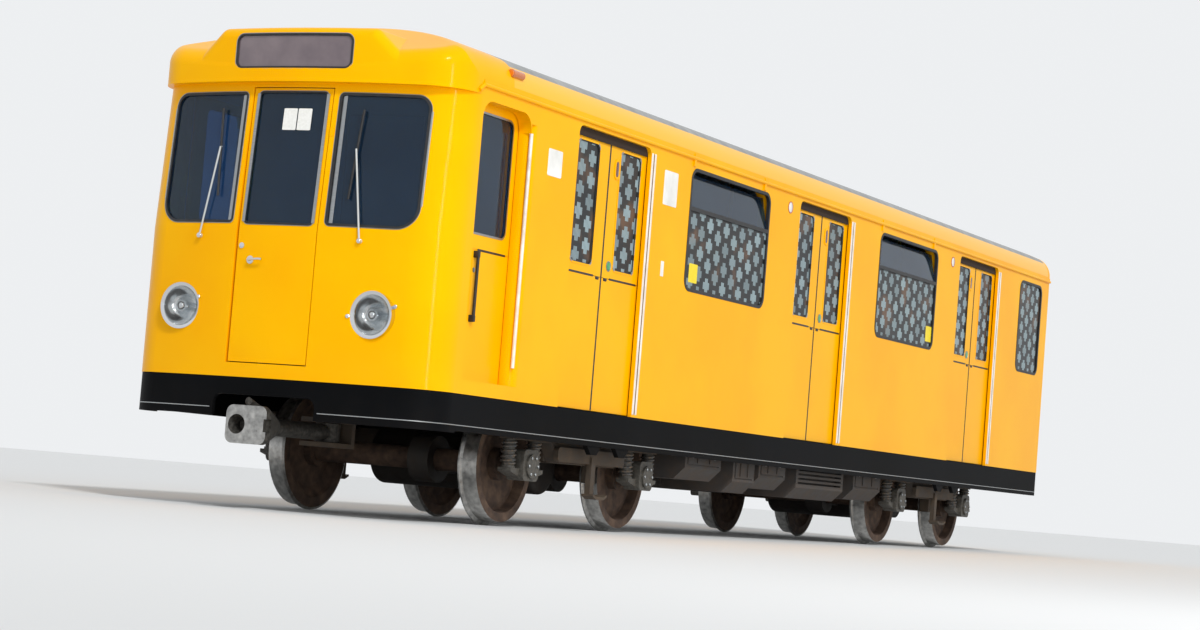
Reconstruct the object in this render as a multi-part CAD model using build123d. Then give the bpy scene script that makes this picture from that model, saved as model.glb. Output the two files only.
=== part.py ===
from build123d import *
import math
import os

os.makedirs("parts", exist_ok=True)

# A metro motor car. Millimetres, +X to the cab, +Y to the left, +Z up, z 0 at the flange tips.
# Heights are above the rail head. Driving dimensions come first.
FLANGE_DEPTH = 28.0
BODY_LENGTH = 12530.0
BODY_WIDTH = 2300.0
WHEEL_R = 390.0
WHEEL_CLEAR = 65.0
FLOOR_THICK = 45.0
WALL_HEIGHT = 1910.0
ROOF_RISE = 380.0
SILL_DROP = 90.0
SILL_DEPTH = 235.0
GAP = 8.0
FIT = 0.3

# Sections of the shell.
SKIN = 28.0
LINING = 25.0
SILL_INSET = 4.0
SOLE_BAR = 50.0
SHELL = 40.0
END_WALL = 60.0
SHOULDER_R = 200.0

# Cab nose: a bowed plan with round corners, upright below, raked back from the belt up.
NOSE_FLANK = 1.48
NOSE_WALL = 60.0
BOW_R = 4016.0
CORNER_R = 300.0
RAKE_HEIGHT = 860.0
RAKE = 65.0
VISOR_DROP = 110.0

# Front dome: the brow over the visor, its slope up to the roof, and the sign hump.
DOME_LENGTH = 865.0
BROW_RISE = 62.0
BROW_SLOPE = 22.0
BROW_R = 130.0
SOFFIT = 12.0
SIGN_RISE = 245.0
SIGN_TOP_HALF = 570.0
SIGN_FOOT_HALF = 770.0
SIGN_SETBACK = 3.0
SIGN_EDGE_R = 70.0
SIGN_GLASS_HALF = 430.0
SIGN_GLASS_RISE = 90.0
SIGN_GLASS_HEIGHT = 210.0
SIGN_GLASS_R = 45.0

# Sliding doors: two leaves a doorway, running into pockets in the walls.
DOORWAY_HALF = 569.0
DOORWAY_DROP = 84.0
DOORWAY_R = 60.0
LEAF_THICK = 36.0
LEAF_OUT = 12.0
LEAF_IN = 8.0
LEAF_LAP = 10.0
LEAF_TOP_LAP = 30.0
LEAF_NOSE_R = 12.0
HANDHOLD = 49.0
SEAM = 2.0
GUIDE = 16.0
POCKET_SPARE = 10.0
POCKET_ROOF = 40.0
FRONT_POCKET_GAP = 61.0
REAR_POCKET_GAP = 161.5
LEAF_PANE_EDGE = 165.0
LEAF_PANE_WIDTH = 325.0
LEAF_PANE_SILL = 910.0
LEAF_PANE_HEIGHT = 830.0
LEAF_PANE_R = 50.0
LEAF_RIM = 13.0
LEAF_RIM_RISE = 3.0
BELT_HEIGHT = 840.0
BELT_GROOVE = 4.0

# Fixed windows.
WINDOW_SILL = 884.0
WINDOW_DROP = 115.0
WINDOW_R = 95.0
WINDOW_FRONT_GAP = 165.0
WINDOW_REAR_GAP = 75.0
VENT_HEIGHT = 317.0
VENT_TILT = 11.0
DIVIDER = 30.0
SMALL_WINDOW_SETBACK = 583.0
SMALL_WINDOW_HALF = 361.5
FRAME_WIDTH = 24.0
FRAME_DEPTH = 24.0
FRAME_RISE = 3.0
PANE_THICK = 6.0
PANE_DEPTH = 16.0
SCREEN_SILL = 890.0
SCREEN_DROP = 60.0
SCREEN_R = 90.0
SCREEN_FOOT_R = 140.0
SCREEN_POST_R = 30.0
SCREEN_POST = 44.0
SCREEN_CORNER = 190.0
RUBBER = 16.0

# Hinged doors.
KNUCKLE_R = 9.0
KNUCKLE = 50.0
HINGE_RISES = [160.0, 710.0, 1460.0]
DOOR_FOOT = 7.0
DOOR_HEAD = 6.0
CAB_JAMB = 22.0
CAB_DOOR_WIDTH = 658.0
CAB_RECESS_DROP = 135.0
CAB_RECESS_R = 120.0
CAB_EDGE_R = 80.0
CAB_LIP = 12.0
CAB_DOOR_FACE = 100.0
CAB_DOOR_THICK = 36.0
CAB_STOP = 6.0
CAB_PANE_REAR = 70.0
CAB_PANE_FRONT = 108.0
CAB_PANE_SILL = 950.0
CAB_PANE_DROP = 65.0
END_DOOR_HALF = 300.0
END_DOOR_DROP = 139.0
END_DOOR_THICK = 36.0
END_DOOR_RIM = 43.0
END_DOOR_STOP = 12.0
END_PANE_HALF = 200.0
CAB_LENGTH = 1245.0
BULKHEAD = 30.0

# Headlamps, marker lamps and wipers.
LAMP_R = 150.0
LAMP_INSET = 433.0
LAMP_HEIGHT = 347.0
LAMP_BEZEL = 22.0
LAMP_DEPTH = 70.0
LAMP_DOME = 34.0
MARKER_R = 28.0
MARKER_LENGTH = 160.0
MARKER_SETBACK = 905.0
MARKER_RISE = 90.0
WIPER_Y = 600.0
WIPER_LEAN = 90.0
WIPER_LENGTH = 580.0
BLADE_LENGTH = 570.0

# Gutters and rails.
BEAD_R = 13.0
GUTTER_RISE = 34.0
GUTTER_DROP = 48.0
RAIL_R = 12.0
POLE_R = 17.0

# Underframe.
BEAM_HALF = 40.0
BEAM_DEPTH = 145.0
BEAM_STEP = 60.0
BOLSTER_DEPTH = 105.0
BOLSTER_HALF = 260.0
END_BEAM_SETBACK = 565.0
BAY_CLEAR = 110.0
BAY_LENGTH = 900.0
BOX_CLEAR = 120.0
JACK_PAD = 220.0
APRON_FOOT = 247.0
APRON_OPEN = 380.0

# Bogies.
BOGIE_SETBACK = 2665.0
AXLE_SPACING = 1800.0
AXLE_R = 75.0
JOURNAL_R = 60.0
JOURNAL_END = 990.0
BACK_TO_BACK = 1360.0
WHEEL_WIDTH = 135.0
FLANGE_WIDTH = 32.0
FRAME_Y = 885.0
FRAME_THICK = 100.0
FRAME_OVERHANG = 230.0
FRAME_CLEAR = 170.0
FRAME_DEPTH_END = 90.0
DROP_HALF = 430.0
DROP_SLOPE = 140.0
TRANSOM_HALF = 150.0
TRANSOM_LOW = 40.0
TRANSOM_DEPTH = 150.0
BELLOWS_Y = 720.0
BELLOWS_R = 190.0
PIN_R = 60.0
BOX_HALF = 110.0
BOX_Y = 1020.0
SPRING_X = 175.0
SPRING_R = 42.0
MOTOR_R = 200.0
MOTOR_HALF = 420.0
GEAR_R = 160.0
SHOE_GAP = 12.0

# Couplers.
COUPLER_Z = 500.0
COUPLER_SETBACK = 815.0
COUPLER_REACH = 150.0
COUPLER_BAR_R = 55.0
COUPLER_PIN_R = 30.0
COUPLER_EYE_R = 80.0
BOLT_CIRCLE = 220.0
BOLT_R = 11.0
BOLT_COUNT = 8

# What follows from them.
POCKET = LEAF_THICK + LEAF_OUT + LEAF_IN
WALL = SKIN + POCKET + LINING
HALF = BODY_WIDTH / 2
INNER_Y = HALF - WALL
FRONT_X = BODY_LENGTH / 2
REAR_X = -FRONT_X
END_FACE_X = REAR_X + END_WALL
NOSE_LENGTH = RAKE + BOW_R - math.sqrt((BOW_R - CORNER_R) ** 2 - (HALF - CORNER_R) ** 2) + NOSE_FLANK
NOSE_JOINT_X = FRONT_X - NOSE_LENGTH
DOME_X = FRONT_X - DOME_LENGTH
FLOOR_TOP = 2 * WHEEL_R + WHEEL_CLEAR + FLOOR_THICK
FLOOR_LOW = FLOOR_TOP - FLOOR_THICK
SILL_TOP = FLOOR_TOP - SILL_DROP
SILL_BOTTOM = SILL_TOP - SILL_DEPTH
WALL_TOP = FLOOR_TOP + WALL_HEIGHT
ROOF_TOP = WALL_TOP + ROOF_RISE
VISOR_Z = WALL_TOP - VISOR_DROP
RAKE_FROM = FLOOR_TOP + RAKE_HEIGHT
THROUGH = 400.0


def rail(height):
    """Height above the rail head, as a z of the model."""
    return FLANGE_DEPTH + height


def block(x0, x1, y0, y1, z0, z1):
    """Block between two corners, its heights above the rail head."""
    middle = Pos((x0 + x1) / 2, (y0 + y1) / 2, rail((z0 + z1) / 2))
    return middle * Box(x1 - x0, y1 - y0, z1 - z0)


def rod(start, end, radius):
    """Round bar between two points, their heights above the rail head."""
    a = Vector(start[0], start[1], rail(start[2]))
    b = Vector(end[0], end[1], rail(end[2]))
    place = Plane(origin=a, z_dir=b - a)
    return place * Cylinder(radius, (b - a).length, align=(Align.CENTER, Align.CENTER, Align.MIN))


def side_plane(y):
    """Sketch plane seen from the right side: x ahead, z up from the rail head, looking along +Y."""
    return Plane(origin=(0, y, rail(0)), x_dir=(1, 0, 0), z_dir=(0, -1, 0))


def cross_plane(x):
    """Sketch plane across the car at x: y to the left, z up from the rail head."""
    return Plane(origin=(x, 0, rail(0)), x_dir=(0, 1, 0), z_dir=(1, 0, 0))


def level(shape, height):
    """A flat face laid level at a height above the rail head."""
    return Pos(0, 0, rail(height)) * shape


def side_prism(x0, x1, z0, z1, radius, y0, y1):
    """Rounded rectangle seen from the side, carried from y0 to y1."""
    face = Pos((x0 + x1) / 2, (z0 + z1) / 2) * RectangleRounded(x1 - x0, z1 - z0, radius)
    return extrude(side_plane(y1) * face, y1 - y0)


def front_prism(y0, y1, z0, z1, radius, x0, x1):
    """Rounded rectangle seen from the front, carried from x0 to x1."""
    face = Pos((y0 + y1) / 2, (z0 + z1) / 2) * RectangleRounded(y1 - y0, z1 - z0, radius)
    return extrude(cross_plane(x0) * face, x1 - x0)


def mirrored(shape):
    """The same piece on the car's other side."""
    return mirror(shape, about=Plane.XZ)


def both(shape):
    """A piece and its twin on the other side."""
    return [shape, mirrored(shape)]


def save(node, *shapes):
    """Write one node, its solids side by side."""
    solids = [solid for shape in shapes for solid in shape.solids()]
    export_step(Compound(solids) if len(solids) > 1 else solids[0], f"parts/{node}.step")


def roof_arcs(inset):
    """Centre depth below the wall top, radius and start angle of the roof's crown arc."""
    reach = HALF - SHOULDER_R
    rise = ROOF_RISE - SHOULDER_R
    below = (reach ** 2 - rise ** 2) / (2 * rise)
    return below, ROOF_RISE + below - inset, math.degrees(math.atan2(below, reach))


def roof_face(inset, skirt=0.0):
    """Roof section: two shoulder arcs and one crown arc, down to the wall top or a skirt below it."""
    below, crown, start = roof_arcs(inset)
    reach = HALF - SHOULDER_R
    foot = HALF - inset
    lines = [CenterArc((reach, 0), SHOULDER_R - inset, 0, start),
             CenterArc((0, -below), crown, start, 180 - 2 * start),
             CenterArc((-reach, 0), SHOULDER_R - inset, 180 - start, start)]
    if skirt:
        lines += [Line((foot, 0), (foot, -skirt)), Line((foot, -skirt), (-foot, -skirt)),
                  Line((-foot, -skirt), (-foot, 0))]
    else:
        lines.append(Line((foot, 0), (-foot, 0)))
    return make_face(lines)


def roof_solid(inset, x0, x1, skirt=0.0):
    """The roof section carried along the car."""
    return extrude(cross_plane(x0) * (Pos(0, WALL_TOP) * roof_face(inset, skirt)), x1 - x0)


def ceiling(y):
    """Height of the ceiling at a distance y from the middle."""
    below, crown, _ = roof_arcs(SHELL)
    return WALL_TOP - below + math.sqrt(crown ** 2 - y ** 2)


def shoulder_y(height):
    """Half width of the roof's outside at a height on its shoulder."""
    return HALF - SHOULDER_R + math.sqrt(SHOULDER_R ** 2 - (height - WALL_TOP) ** 2)


def nose_face(inset, setback=0.0, start=NOSE_JOINT_X):
    """Plan of the nose: straight flanks, two corner arcs and the bow."""
    bow_x = FRONT_X - setback - BOW_R
    corner_y = HALF - CORNER_R
    corner_x = bow_x + math.sqrt((BOW_R - CORNER_R) ** 2 - corner_y ** 2)
    turn = math.degrees(math.atan2(corner_y, corner_x - bow_x))
    foot = HALF - inset
    lines = [Line((start, -foot), (corner_x, -foot)),
             CenterArc((corner_x, -corner_y), CORNER_R - inset, -90, 90 - turn),
             CenterArc((bow_x, 0), BOW_R - inset, -turn, 2 * turn),
             CenterArc((corner_x, corner_y), CORNER_R - inset, turn, 90 - turn),
             Line((corner_x, foot), (start, foot)),
             Line((start, foot), (start, -foot))]
    return make_face(lines)


def nose_solid(inset):
    """The nose's plan carried up: upright to the belt, then leaning back to the visor."""
    lower = extrude(level(nose_face(inset), SILL_TOP), RAKE_FROM - SILL_TOP)
    upper = loft([level(nose_face(inset), RAKE_FROM), level(nose_face(inset, RAKE), VISOR_Z)], ruled=True)
    return lower + upper


def nose_x(y, z):
    """Place of the nose's outer face ahead, at y and a height."""
    lean = max(0.0, RAKE * (z - RAKE_FROM) / (VISOR_Z - RAKE_FROM))
    return FRONT_X - lean - BOW_R + math.sqrt(BOW_R ** 2 - y ** 2)


def hinge(x, y, tab):
    """Knuckles about an upright axis: fixed ones with tabs to the jamb, and moving ones on them."""
    fixed, moving = [], []
    for z in HINGE_HEIGHTS:
        fixed.append(rod((x, y, z), (x, y, z + KNUCKLE), KNUCKLE_R) + block(*tab, z, z + KNUCKLE))
        moving.append(rod((x, y, z + KNUCKLE + FIT), (x, y, z + 2 * KNUCKLE), KNUCKLE_R))
    return fixed, moving


HINGE_HEIGHTS = [FLOOR_TOP + rise for rise in HINGE_RISES]

# Places of the doorways and windows, from the cab door's recess and the rear window inwards.
CAB_RECESS_FRONT = NOSE_JOINT_X - CAB_JAMB
CAB_RECESS_REAR = CAB_RECESS_FRONT - CAB_DOOR_WIDTH
CAB_RECESS_TOP = WALL_TOP - CAB_RECESS_DROP
DOORWAY_TOP = WALL_TOP - DOORWAY_DROP
LEAF_WIDTH = DOORWAY_HALF + LEAF_LAP - SEAM
LEAF_TRAVEL = DOORWAY_HALF - HANDHOLD
LEAF_Z = SILL_TOP + GAP
LEAF_TOP = DOORWAY_TOP + LEAF_TOP_LAP
POCKET_HALF = SEAM + LEAF_WIDTH + LEAF_TRAVEL + POCKET_SPARE
POCKET_TOP = WALL_TOP - POCKET_ROOF
SMALL_WINDOW_X = REAR_X + SMALL_WINDOW_SETBACK
first_doorway = CAB_RECESS_REAR - CAB_EDGE_R - FRONT_POCKET_GAP - POCKET_HALF
last_doorway = SMALL_WINDOW_X + SMALL_WINDOW_HALF + REAR_POCKET_GAP + POCKET_HALF
DOORWAYS = [first_doorway, (first_doorway + last_doorway) / 2, last_doorway]
WINDOW_Z = FLOOR_TOP + WINDOW_SILL
WINDOW_TOP = WALL_TOP - WINDOW_DROP
DIVIDER_Z = WINDOW_TOP - VENT_HEIGHT
WINDOWS = [(rear + POCKET_HALF + WINDOW_REAR_GAP, front - POCKET_HALF - WINDOW_FRONT_GAP)
           for front, rear in zip(DOORWAYS, DOORWAYS[1:])]
SMALL_WINDOW = (SMALL_WINDOW_X - SMALL_WINDOW_HALF, SMALL_WINDOW_X + SMALL_WINDOW_HALF)
BOGIE_X = FRONT_X - BOGIE_SETBACK
COUPLER_X = FRONT_X - COUPLER_SETBACK
half_base = AXLE_SPACING / 2

# Underframe: floor, sole bars, cross beams, bogie bolsters with pins, coupler pockets.
beam_z = FLOOR_LOW - BEAM_DEPTH
bolster_z = FLOOR_LOW - BOLSTER_DEPTH
pin_foot = COUPLER_Z - 50
sole_y = HALF - SILL_INSET
bay_half = BOGIE_X - half_base - WHEEL_R - BAY_CLEAR
mid_beam = bay_half - BAY_LENGTH
end_beam = FRONT_X - END_BEAM_SETBACK
head_beam = end_beam - 650
underframe = block(END_FACE_X, NOSE_JOINT_X, -INNER_Y, INNER_Y, FLOOR_LOW, FLOOR_TOP)
underframe += extrude(level(nose_face(NOSE_WALL), FLOOR_LOW), FLOOR_THICK)
sole = block(REAR_X, NOSE_JOINT_X, sole_y - SOLE_BAR, sole_y, SILL_BOTTOM, SILL_TOP)
sole += block(END_FACE_X, NOSE_JOINT_X, INNER_Y - 60, sole_y, SILL_TOP - 40, SILL_TOP)
sole += block(END_FACE_X, NOSE_JOINT_X, INNER_Y - 60, INNER_Y, SILL_TOP - 40, FLOOR_LOW)
sole += block(-bay_half, bay_half, 330, 410, beam_z, FLOOR_LOW)
pad = Polyline((-JACK_PAD / 2, SILL_BOTTOM), (JACK_PAD / 2, SILL_BOTTOM), (JACK_PAD / 5, SILL_BOTTOM - 60),
               (-JACK_PAD / 5, SILL_BOTTOM - 60), close=True)
for x in (BOGIE_X, -BOGIE_X):
    for way in (1, -1):
        sole += Pos(x + way * JACK_PAD) * extrude(side_plane(sole_y - 8) * make_face(pad), SOLE_BAR - 16)
underframe += sole + mirrored(sole)
beams = [0.0]
for x in (mid_beam, bay_half, head_beam, end_beam):
    beams += [x, -x]
for x in beams:
    beam = block(x - BEAM_HALF, x + BEAM_HALF, -INNER_Y, INNER_Y, beam_z + BEAM_STEP, FLOOR_LOW)
    underframe += beam
for x in (BOGIE_X, -BOGIE_X):
    underframe += block(x - BOLSTER_HALF, x + BOLSTER_HALF, -INNER_Y, INNER_Y, bolster_z, FLOOR_LOW)
    underframe += rod((x, 0, pin_foot), (x, 0, bolster_z), PIN_R)
for end in (1, -1):
    pivot = end * COUPLER_X
    for z in (COUPLER_Z - 95, COUPLER_Z + 65):
        underframe += block(pivot - 130, pivot + 130, -130, 130, z, z + 30)
    near, far = sorted((pivot - end * 130, pivot - end * 90))
    underframe += block(near, far, -130, 130, COUPLER_Z - 95, FLOOR_LOW)
    underframe += rod((pivot, 0, COUPLER_Z - 95), (pivot, 0, COUPLER_Z + 95), COUPLER_PIN_R)
save("underframe", underframe)

# Side walls: full-thickness panels between the doorways, with door pockets, windows and the cab
# door's recess, under a cantrail that carries the door runners and rounds the doorways' top corners.
leaf_y1 = HALF - SKIN - LEAF_OUT
leaf_y0 = leaf_y1 - LEAF_THICK
leaf_y = (leaf_y0 + leaf_y1) / 2
cantrail = block(END_FACE_X, NOSE_JOINT_X, INNER_Y, HALF, DOORWAY_TOP, WALL_TOP)
ends = [END_FACE_X]
for x in reversed(DOORWAYS):
    ends += [x - DOORWAY_HALF, x + DOORWAY_HALF]
ends.append(NOSE_JOINT_X)
panels = [block(x0, x1, INNER_Y, HALF, SILL_TOP, DOORWAY_TOP) for x0, x1 in zip(ends[::2], ends[1::2])]
wall = panels[0] + panels[1] + panels[2] + panels[3]
for x in DOORWAYS:
    pocket = block(x - POCKET_HALF, x + POCKET_HALF, INNER_Y + LINING, HALF - SKIN, SILL_TOP, POCKET_TOP)
    wall -= pocket
    cantrail -= pocket
    cantrail += block(x - POCKET_HALF, x + POCKET_HALF, leaf_y - GUIDE / 2, leaf_y + GUIDE / 2,
                      LEAF_TOP + FIT, POCKET_TOP)
    for way in (1, -1):
        edge = x + way * DOORWAY_HALF
        inner = edge - way * DOORWAY_R
        corner = block(*sorted((edge, inner)), HALF - SKIN, HALF, DOORWAY_TOP - DOORWAY_R, DOORWAY_TOP)
        cantrail += corner - rod((inner, HALF - SKIN, DOORWAY_TOP - DOORWAY_R),
                                 (inner, HALF, DOORWAY_TOP - DOORWAY_R), DOORWAY_R)
save("cantrails", *both(cantrail))
for x0, x1 in WINDOWS + [SMALL_WINDOW]:
    wall -= side_prism(x0, x1, WINDOW_Z, WINDOW_TOP, WINDOW_R, INNER_Y, HALF)
cab_face_y = HALF - CAB_DOOR_FACE
cab_stop_y = cab_face_y + CAB_STOP
recess = side_prism(CAB_RECESS_REAR, CAB_RECESS_FRONT, FLOOR_TOP - CAB_RECESS_R, CAB_RECESS_TOP, CAB_RECESS_R,
                    cab_stop_y, HALF)
recess -= block(CAB_RECESS_REAR, CAB_RECESS_FRONT, cab_stop_y, HALF, FLOOR_TOP - CAB_RECESS_R, FLOOR_TOP)
roll_x = CAB_RECESS_REAR - CAB_EDGE_R
roll_y = HALF - CAB_EDGE_R
roll = block(roll_x, CAB_RECESS_REAR, roll_y, HALF, FLOOR_TOP, CAB_RECESS_TOP - CAB_RECESS_R / 2)
roll -= rod((roll_x, roll_y, FLOOR_TOP), (roll_x, roll_y, CAB_RECESS_TOP), CAB_EDGE_R)
wall -= recess
wall -= roll
cab_open = (CAB_RECESS_REAR - CAB_LIP, CAB_RECESS_FRONT + CAB_LIP)
wall -= block(*cab_open, INNER_Y, cab_stop_y, FLOOR_TOP, CAB_RECESS_TOP + CAB_LIP)
cab_hinge = (cab_open[0] + GAP / 2, cab_face_y - CAB_DOOR_THICK - 14)
cab_fixed, cab_moving = hinge(*cab_hinge, (cab_open[0] - 30, cab_open[0], cab_hinge[1], INNER_Y))
for knuckle, z in zip(cab_fixed, HINGE_HEIGHTS):
    wall += knuckle
    wall += block(cab_open[0] - 2, cab_open[0], cab_hinge[1], cab_hinge[1] + KNUCKLE_R, z, z + KNUCKLE)
save("side_wall_left", wall)
save("side_wall_right", mirrored(wall))

# Cab side doors, hinged at their rear edge, opening inwards.
cab_back_y = cab_face_y - CAB_DOOR_THICK
door = block(cab_open[0] + GAP, cab_open[1] - GAP, cab_back_y, cab_face_y, FLOOR_TOP + DOOR_FOOT,
             CAB_RECESS_TOP + CAB_LIP - DOOR_HEAD)
cab_pane = (CAB_RECESS_REAR + CAB_PANE_REAR, CAB_RECESS_FRONT - CAB_PANE_FRONT, FLOOR_TOP + CAB_PANE_SILL,
            CAB_RECESS_TOP - CAB_PANE_DROP)
rim = (cab_pane[0] - LEAF_RIM, cab_pane[1] + LEAF_RIM, cab_pane[2] - LEAF_RIM, cab_pane[3] + LEAF_RIM)
door += side_prism(*rim, LEAF_PANE_R + LEAF_RIM, cab_face_y, cab_face_y + LEAF_RIM_RISE)
door -= side_prism(*cab_pane, LEAF_PANE_R, cab_back_y, cab_face_y + LEAF_RIM_RISE)
door -= block(*cab_open, cab_face_y - BELT_GROOVE, cab_face_y, FLOOR_TOP + BELT_HEIGHT,
              FLOOR_TOP + BELT_HEIGHT + BELT_GROOVE)
for knuckle, z in zip(cab_moving, HINGE_HEIGHTS):
    door += knuckle
    door += block(cab_hinge[0], cab_open[0] + GAP + 40, cab_hinge[1], cab_back_y, z + KNUCKLE + FIT, z + 2 * KNUCKLE)
cab_glass = side_prism(cab_pane[0] + FIT, cab_pane[1] - FIT, cab_pane[2] + FIT, cab_pane[3] - FIT,
                       LEAF_PANE_R - FIT, cab_face_y - 14, cab_face_y - 14 + PANE_THICK)
save("cab_door_left", door, cab_glass)
save("cab_door_right", mirrored(door), mirrored(cab_glass))

# Sliding leaves: a plate with a rounded meeting edge, a belt groove and a window in a raised rim.
for number, x in enumerate(DOORWAYS, 1):
    for end, way in (("front", 1), ("rear", -1)):
        near = x + way * SEAM
        x0, x1 = sorted((near, near + way * LEAF_WIDTH))
        leaf = block(x0, x1, leaf_y0, leaf_y1, LEAF_Z, LEAF_TOP)
        meeting = [edge for edge in leaf.edges().filter_by(Axis.Z) if abs(edge.center().X - near) < 1]
        leaf = fillet(meeting, LEAF_NOSE_R)
        p0, p1 = sorted((near + way * LEAF_PANE_EDGE, near + way * (LEAF_PANE_EDGE + LEAF_PANE_WIDTH)))
        z0, z1 = FLOOR_TOP + LEAF_PANE_SILL, FLOOR_TOP + LEAF_PANE_SILL + LEAF_PANE_HEIGHT
        leaf += side_prism(p0 - LEAF_RIM, p1 + LEAF_RIM, z0 - LEAF_RIM, z1 + LEAF_RIM, LEAF_PANE_R + LEAF_RIM,
                           leaf_y1, leaf_y1 + LEAF_RIM_RISE)
        leaf -= side_prism(p0, p1, z0, z1, LEAF_PANE_R, leaf_y0, leaf_y1 + LEAF_RIM_RISE)
        leaf -= block(x0, x1, leaf_y1 - BELT_GROOVE, leaf_y1, FLOOR_TOP + BELT_HEIGHT,
                      FLOOR_TOP + BELT_HEIGHT + BELT_GROOVE)
        pane = side_prism(p0 + FIT, p1 - FIT, z0 + FIT, z1 - FIT, LEAF_PANE_R - FIT,
                          leaf_y1 - 14, leaf_y1 - 14 + PANE_THICK)
        save(f"leaf_left_{number}_{end}", leaf, pane)
        save(f"leaf_right_{number}_{end}", mirrored(leaf), mirrored(pane))

# Cab front: the nose shell with three windscreens, the front doorway and the lamp openings.
END_DOOR_TOP = WALL_TOP - END_DOOR_DROP
SCREEN_INNER = END_DOOR_HALF + SCREEN_POST
SCREEN_OUTER = HALF - SCREEN_CORNER
SCREEN_Z = FLOOR_TOP + SCREEN_SILL
SCREEN_TOP = VISOR_Z - SCREEN_DROP
CENTRE_PANE_HALF = END_DOOR_HALF - END_DOOR_RIM
lamp_y = HALF - LAMP_INSET
lamp_z = FLOOR_TOP + LAMP_HEIGHT
ahead = (FRONT_X - THROUGH, FRONT_X + 50)


def screen(inset):
    """Left windscreen's outline carried through the nose, each corner with a radius of its own."""
    y0, y1 = SCREEN_INNER + inset, SCREEN_OUTER - inset
    z0, z1 = SCREEN_Z + inset, SCREEN_TOP - inset
    outline = Pos((y0 + y1) / 2, (z0 + z1) / 2) * Rectangle(y1 - y0, z1 - z0)
    for y, z, radius in ((y1, z1, SCREEN_R), (y1, z0, SCREEN_FOOT_R), (y0, z0, SCREEN_POST_R),
                         (y0, z1, SCREEN_POST_R)):
        corner = outline.vertices().sort_by_distance((y, z, 0))[0]
        outline = fillet(corner, radius - inset)
    return extrude(cross_plane(ahead[0]) * outline, ahead[1] - ahead[0])


def centre_screen(inset):
    """Middle windscreen's outline carried through the front door."""
    return front_prism(-CENTRE_PANE_HALF + inset, CENTRE_PANE_HALF - inset, SCREEN_Z + inset, SCREEN_TOP - inset,
                       SCREEN_POST_R - inset, *ahead)


nose_shell = nose_solid(0) - nose_solid(NOSE_WALL)
cab_front = nose_shell - screen(0) - mirrored(screen(0))
cab_front -= block(*ahead, -END_DOOR_HALF - GAP, END_DOOR_HALF, FLOOR_TOP, END_DOOR_TOP)
for side in (1, -1):
    cab_front -= rod((FRONT_X - 300, side * lamp_y, lamp_z), (FRONT_X + 50, side * lamp_y, lamp_z), LAMP_R + FIT)
front_hinge = (FRONT_X - RAKE - NOSE_WALL - 14, END_DOOR_HALF - GAP / 2)
tab = (front_hinge[0], FRONT_X - NOSE_WALL + 10, END_DOOR_HALF, END_DOOR_HALF + 30)
front_fixed, front_moving = hinge(*front_hinge, tab)
for knuckle, z in zip(front_fixed, HINGE_HEIGHTS):
    cab_front += knuckle
    cab_front += block(front_hinge[0], front_hinge[0] + KNUCKLE_R, front_hinge[1], END_DOOR_HALF + 30, z, z + KNUCKLE)
save("cab_front", cab_front)

# Front end door: a piece of the nose, with the middle windscreen.
lock_r = 2 * END_DOOR_HALF - 2
door_shell = nose_solid(SILL_INSET) - nose_solid(SILL_INSET + END_DOOR_THICK)
front_door = door_shell & block(*ahead, -END_DOOR_HALF, END_DOOR_HALF - GAP, FLOOR_TOP + DOOR_FOOT,
                                END_DOOR_TOP - DOOR_HEAD)
front_door &= rod((*front_hinge, FLOOR_TOP), (*front_hinge, END_DOOR_TOP), lock_r)
front_door -= centre_screen(0)
behind = nose_solid(-50) - nose_solid(SILL_INSET + END_DOOR_THICK)
for knuckle, z in zip(front_moving, HINGE_HEIGHTS):
    arm = block(front_hinge[0], FRONT_X - 20, front_hinge[1] - 30, front_hinge[1] - GAP / 2 - 1,
                z + KNUCKLE + FIT, z + 2 * KNUCKLE)
    front_door += arm - behind
    front_door += knuckle
glass_shell = nose_solid(14) - nose_solid(14 + PANE_THICK)
save("front_door", front_door, glass_shell & centre_screen(FIT))

# Rear end: the body's section closed by a wall with a doorway and two windows.
rear_end = roof_solid(0, REAR_X, END_FACE_X, WALL_TOP - SILL_TOP)
rear_end -= block(REAR_X, REAR_X + END_DOOR_STOP, -END_DOOR_HALF + END_DOOR_STOP, END_DOOR_HALF - END_DOOR_STOP,
                  FLOOR_TOP, END_DOOR_TOP - END_DOOR_STOP)
rear_end -= block(REAR_X + END_DOOR_STOP, END_FACE_X, -END_DOOR_HALF, END_DOOR_HALF, FLOOR_TOP, END_DOOR_TOP)
rear_windows = [(END_DOOR_HALF + 120, HALF - 220), (-HALF + 220, -END_DOOR_HALF - 120)]
rear_window_top = WINDOW_TOP - 60
for y0, y1 in rear_windows:
    rear_end -= front_prism(y0, y1, WINDOW_Z, rear_window_top, WINDOW_R, REAR_X, END_FACE_X)
rear_door_x = REAR_X + END_DOOR_STOP + 6
rear_hinge = (END_FACE_X + 12, END_DOOR_HALF - GAP / 2)
tab = (END_FACE_X, END_FACE_X + 12 + KNUCKLE_R, rear_hinge[1] + 2, END_DOOR_HALF + 30)
rear_fixed, rear_moving = hinge(*rear_hinge, tab)
for knuckle in rear_fixed:
    rear_end += knuckle
save("rear_end", rear_end)
rear_door = block(rear_door_x, rear_door_x + END_DOOR_THICK, -END_DOOR_HALF + GAP + 2, END_DOOR_HALF - GAP,
                  FLOOR_TOP + DOOR_FOOT, END_DOOR_TOP - DOOR_HEAD)
rear_pane = (-END_PANE_HALF, END_PANE_HALF, WINDOW_Z, WINDOW_TOP - 100)
rear_door -= front_prism(*rear_pane, LEAF_PANE_R, rear_door_x, rear_door_x + END_DOOR_THICK)
for knuckle, z in zip(rear_moving, HINGE_HEIGHTS):
    rear_door += block(rear_door_x + END_DOOR_THICK, rear_hinge[0], rear_hinge[1] - 40,
                       END_DOOR_HALF - GAP, z + KNUCKLE + FIT, z + 2 * KNUCKLE)
    rear_door += knuckle
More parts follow.
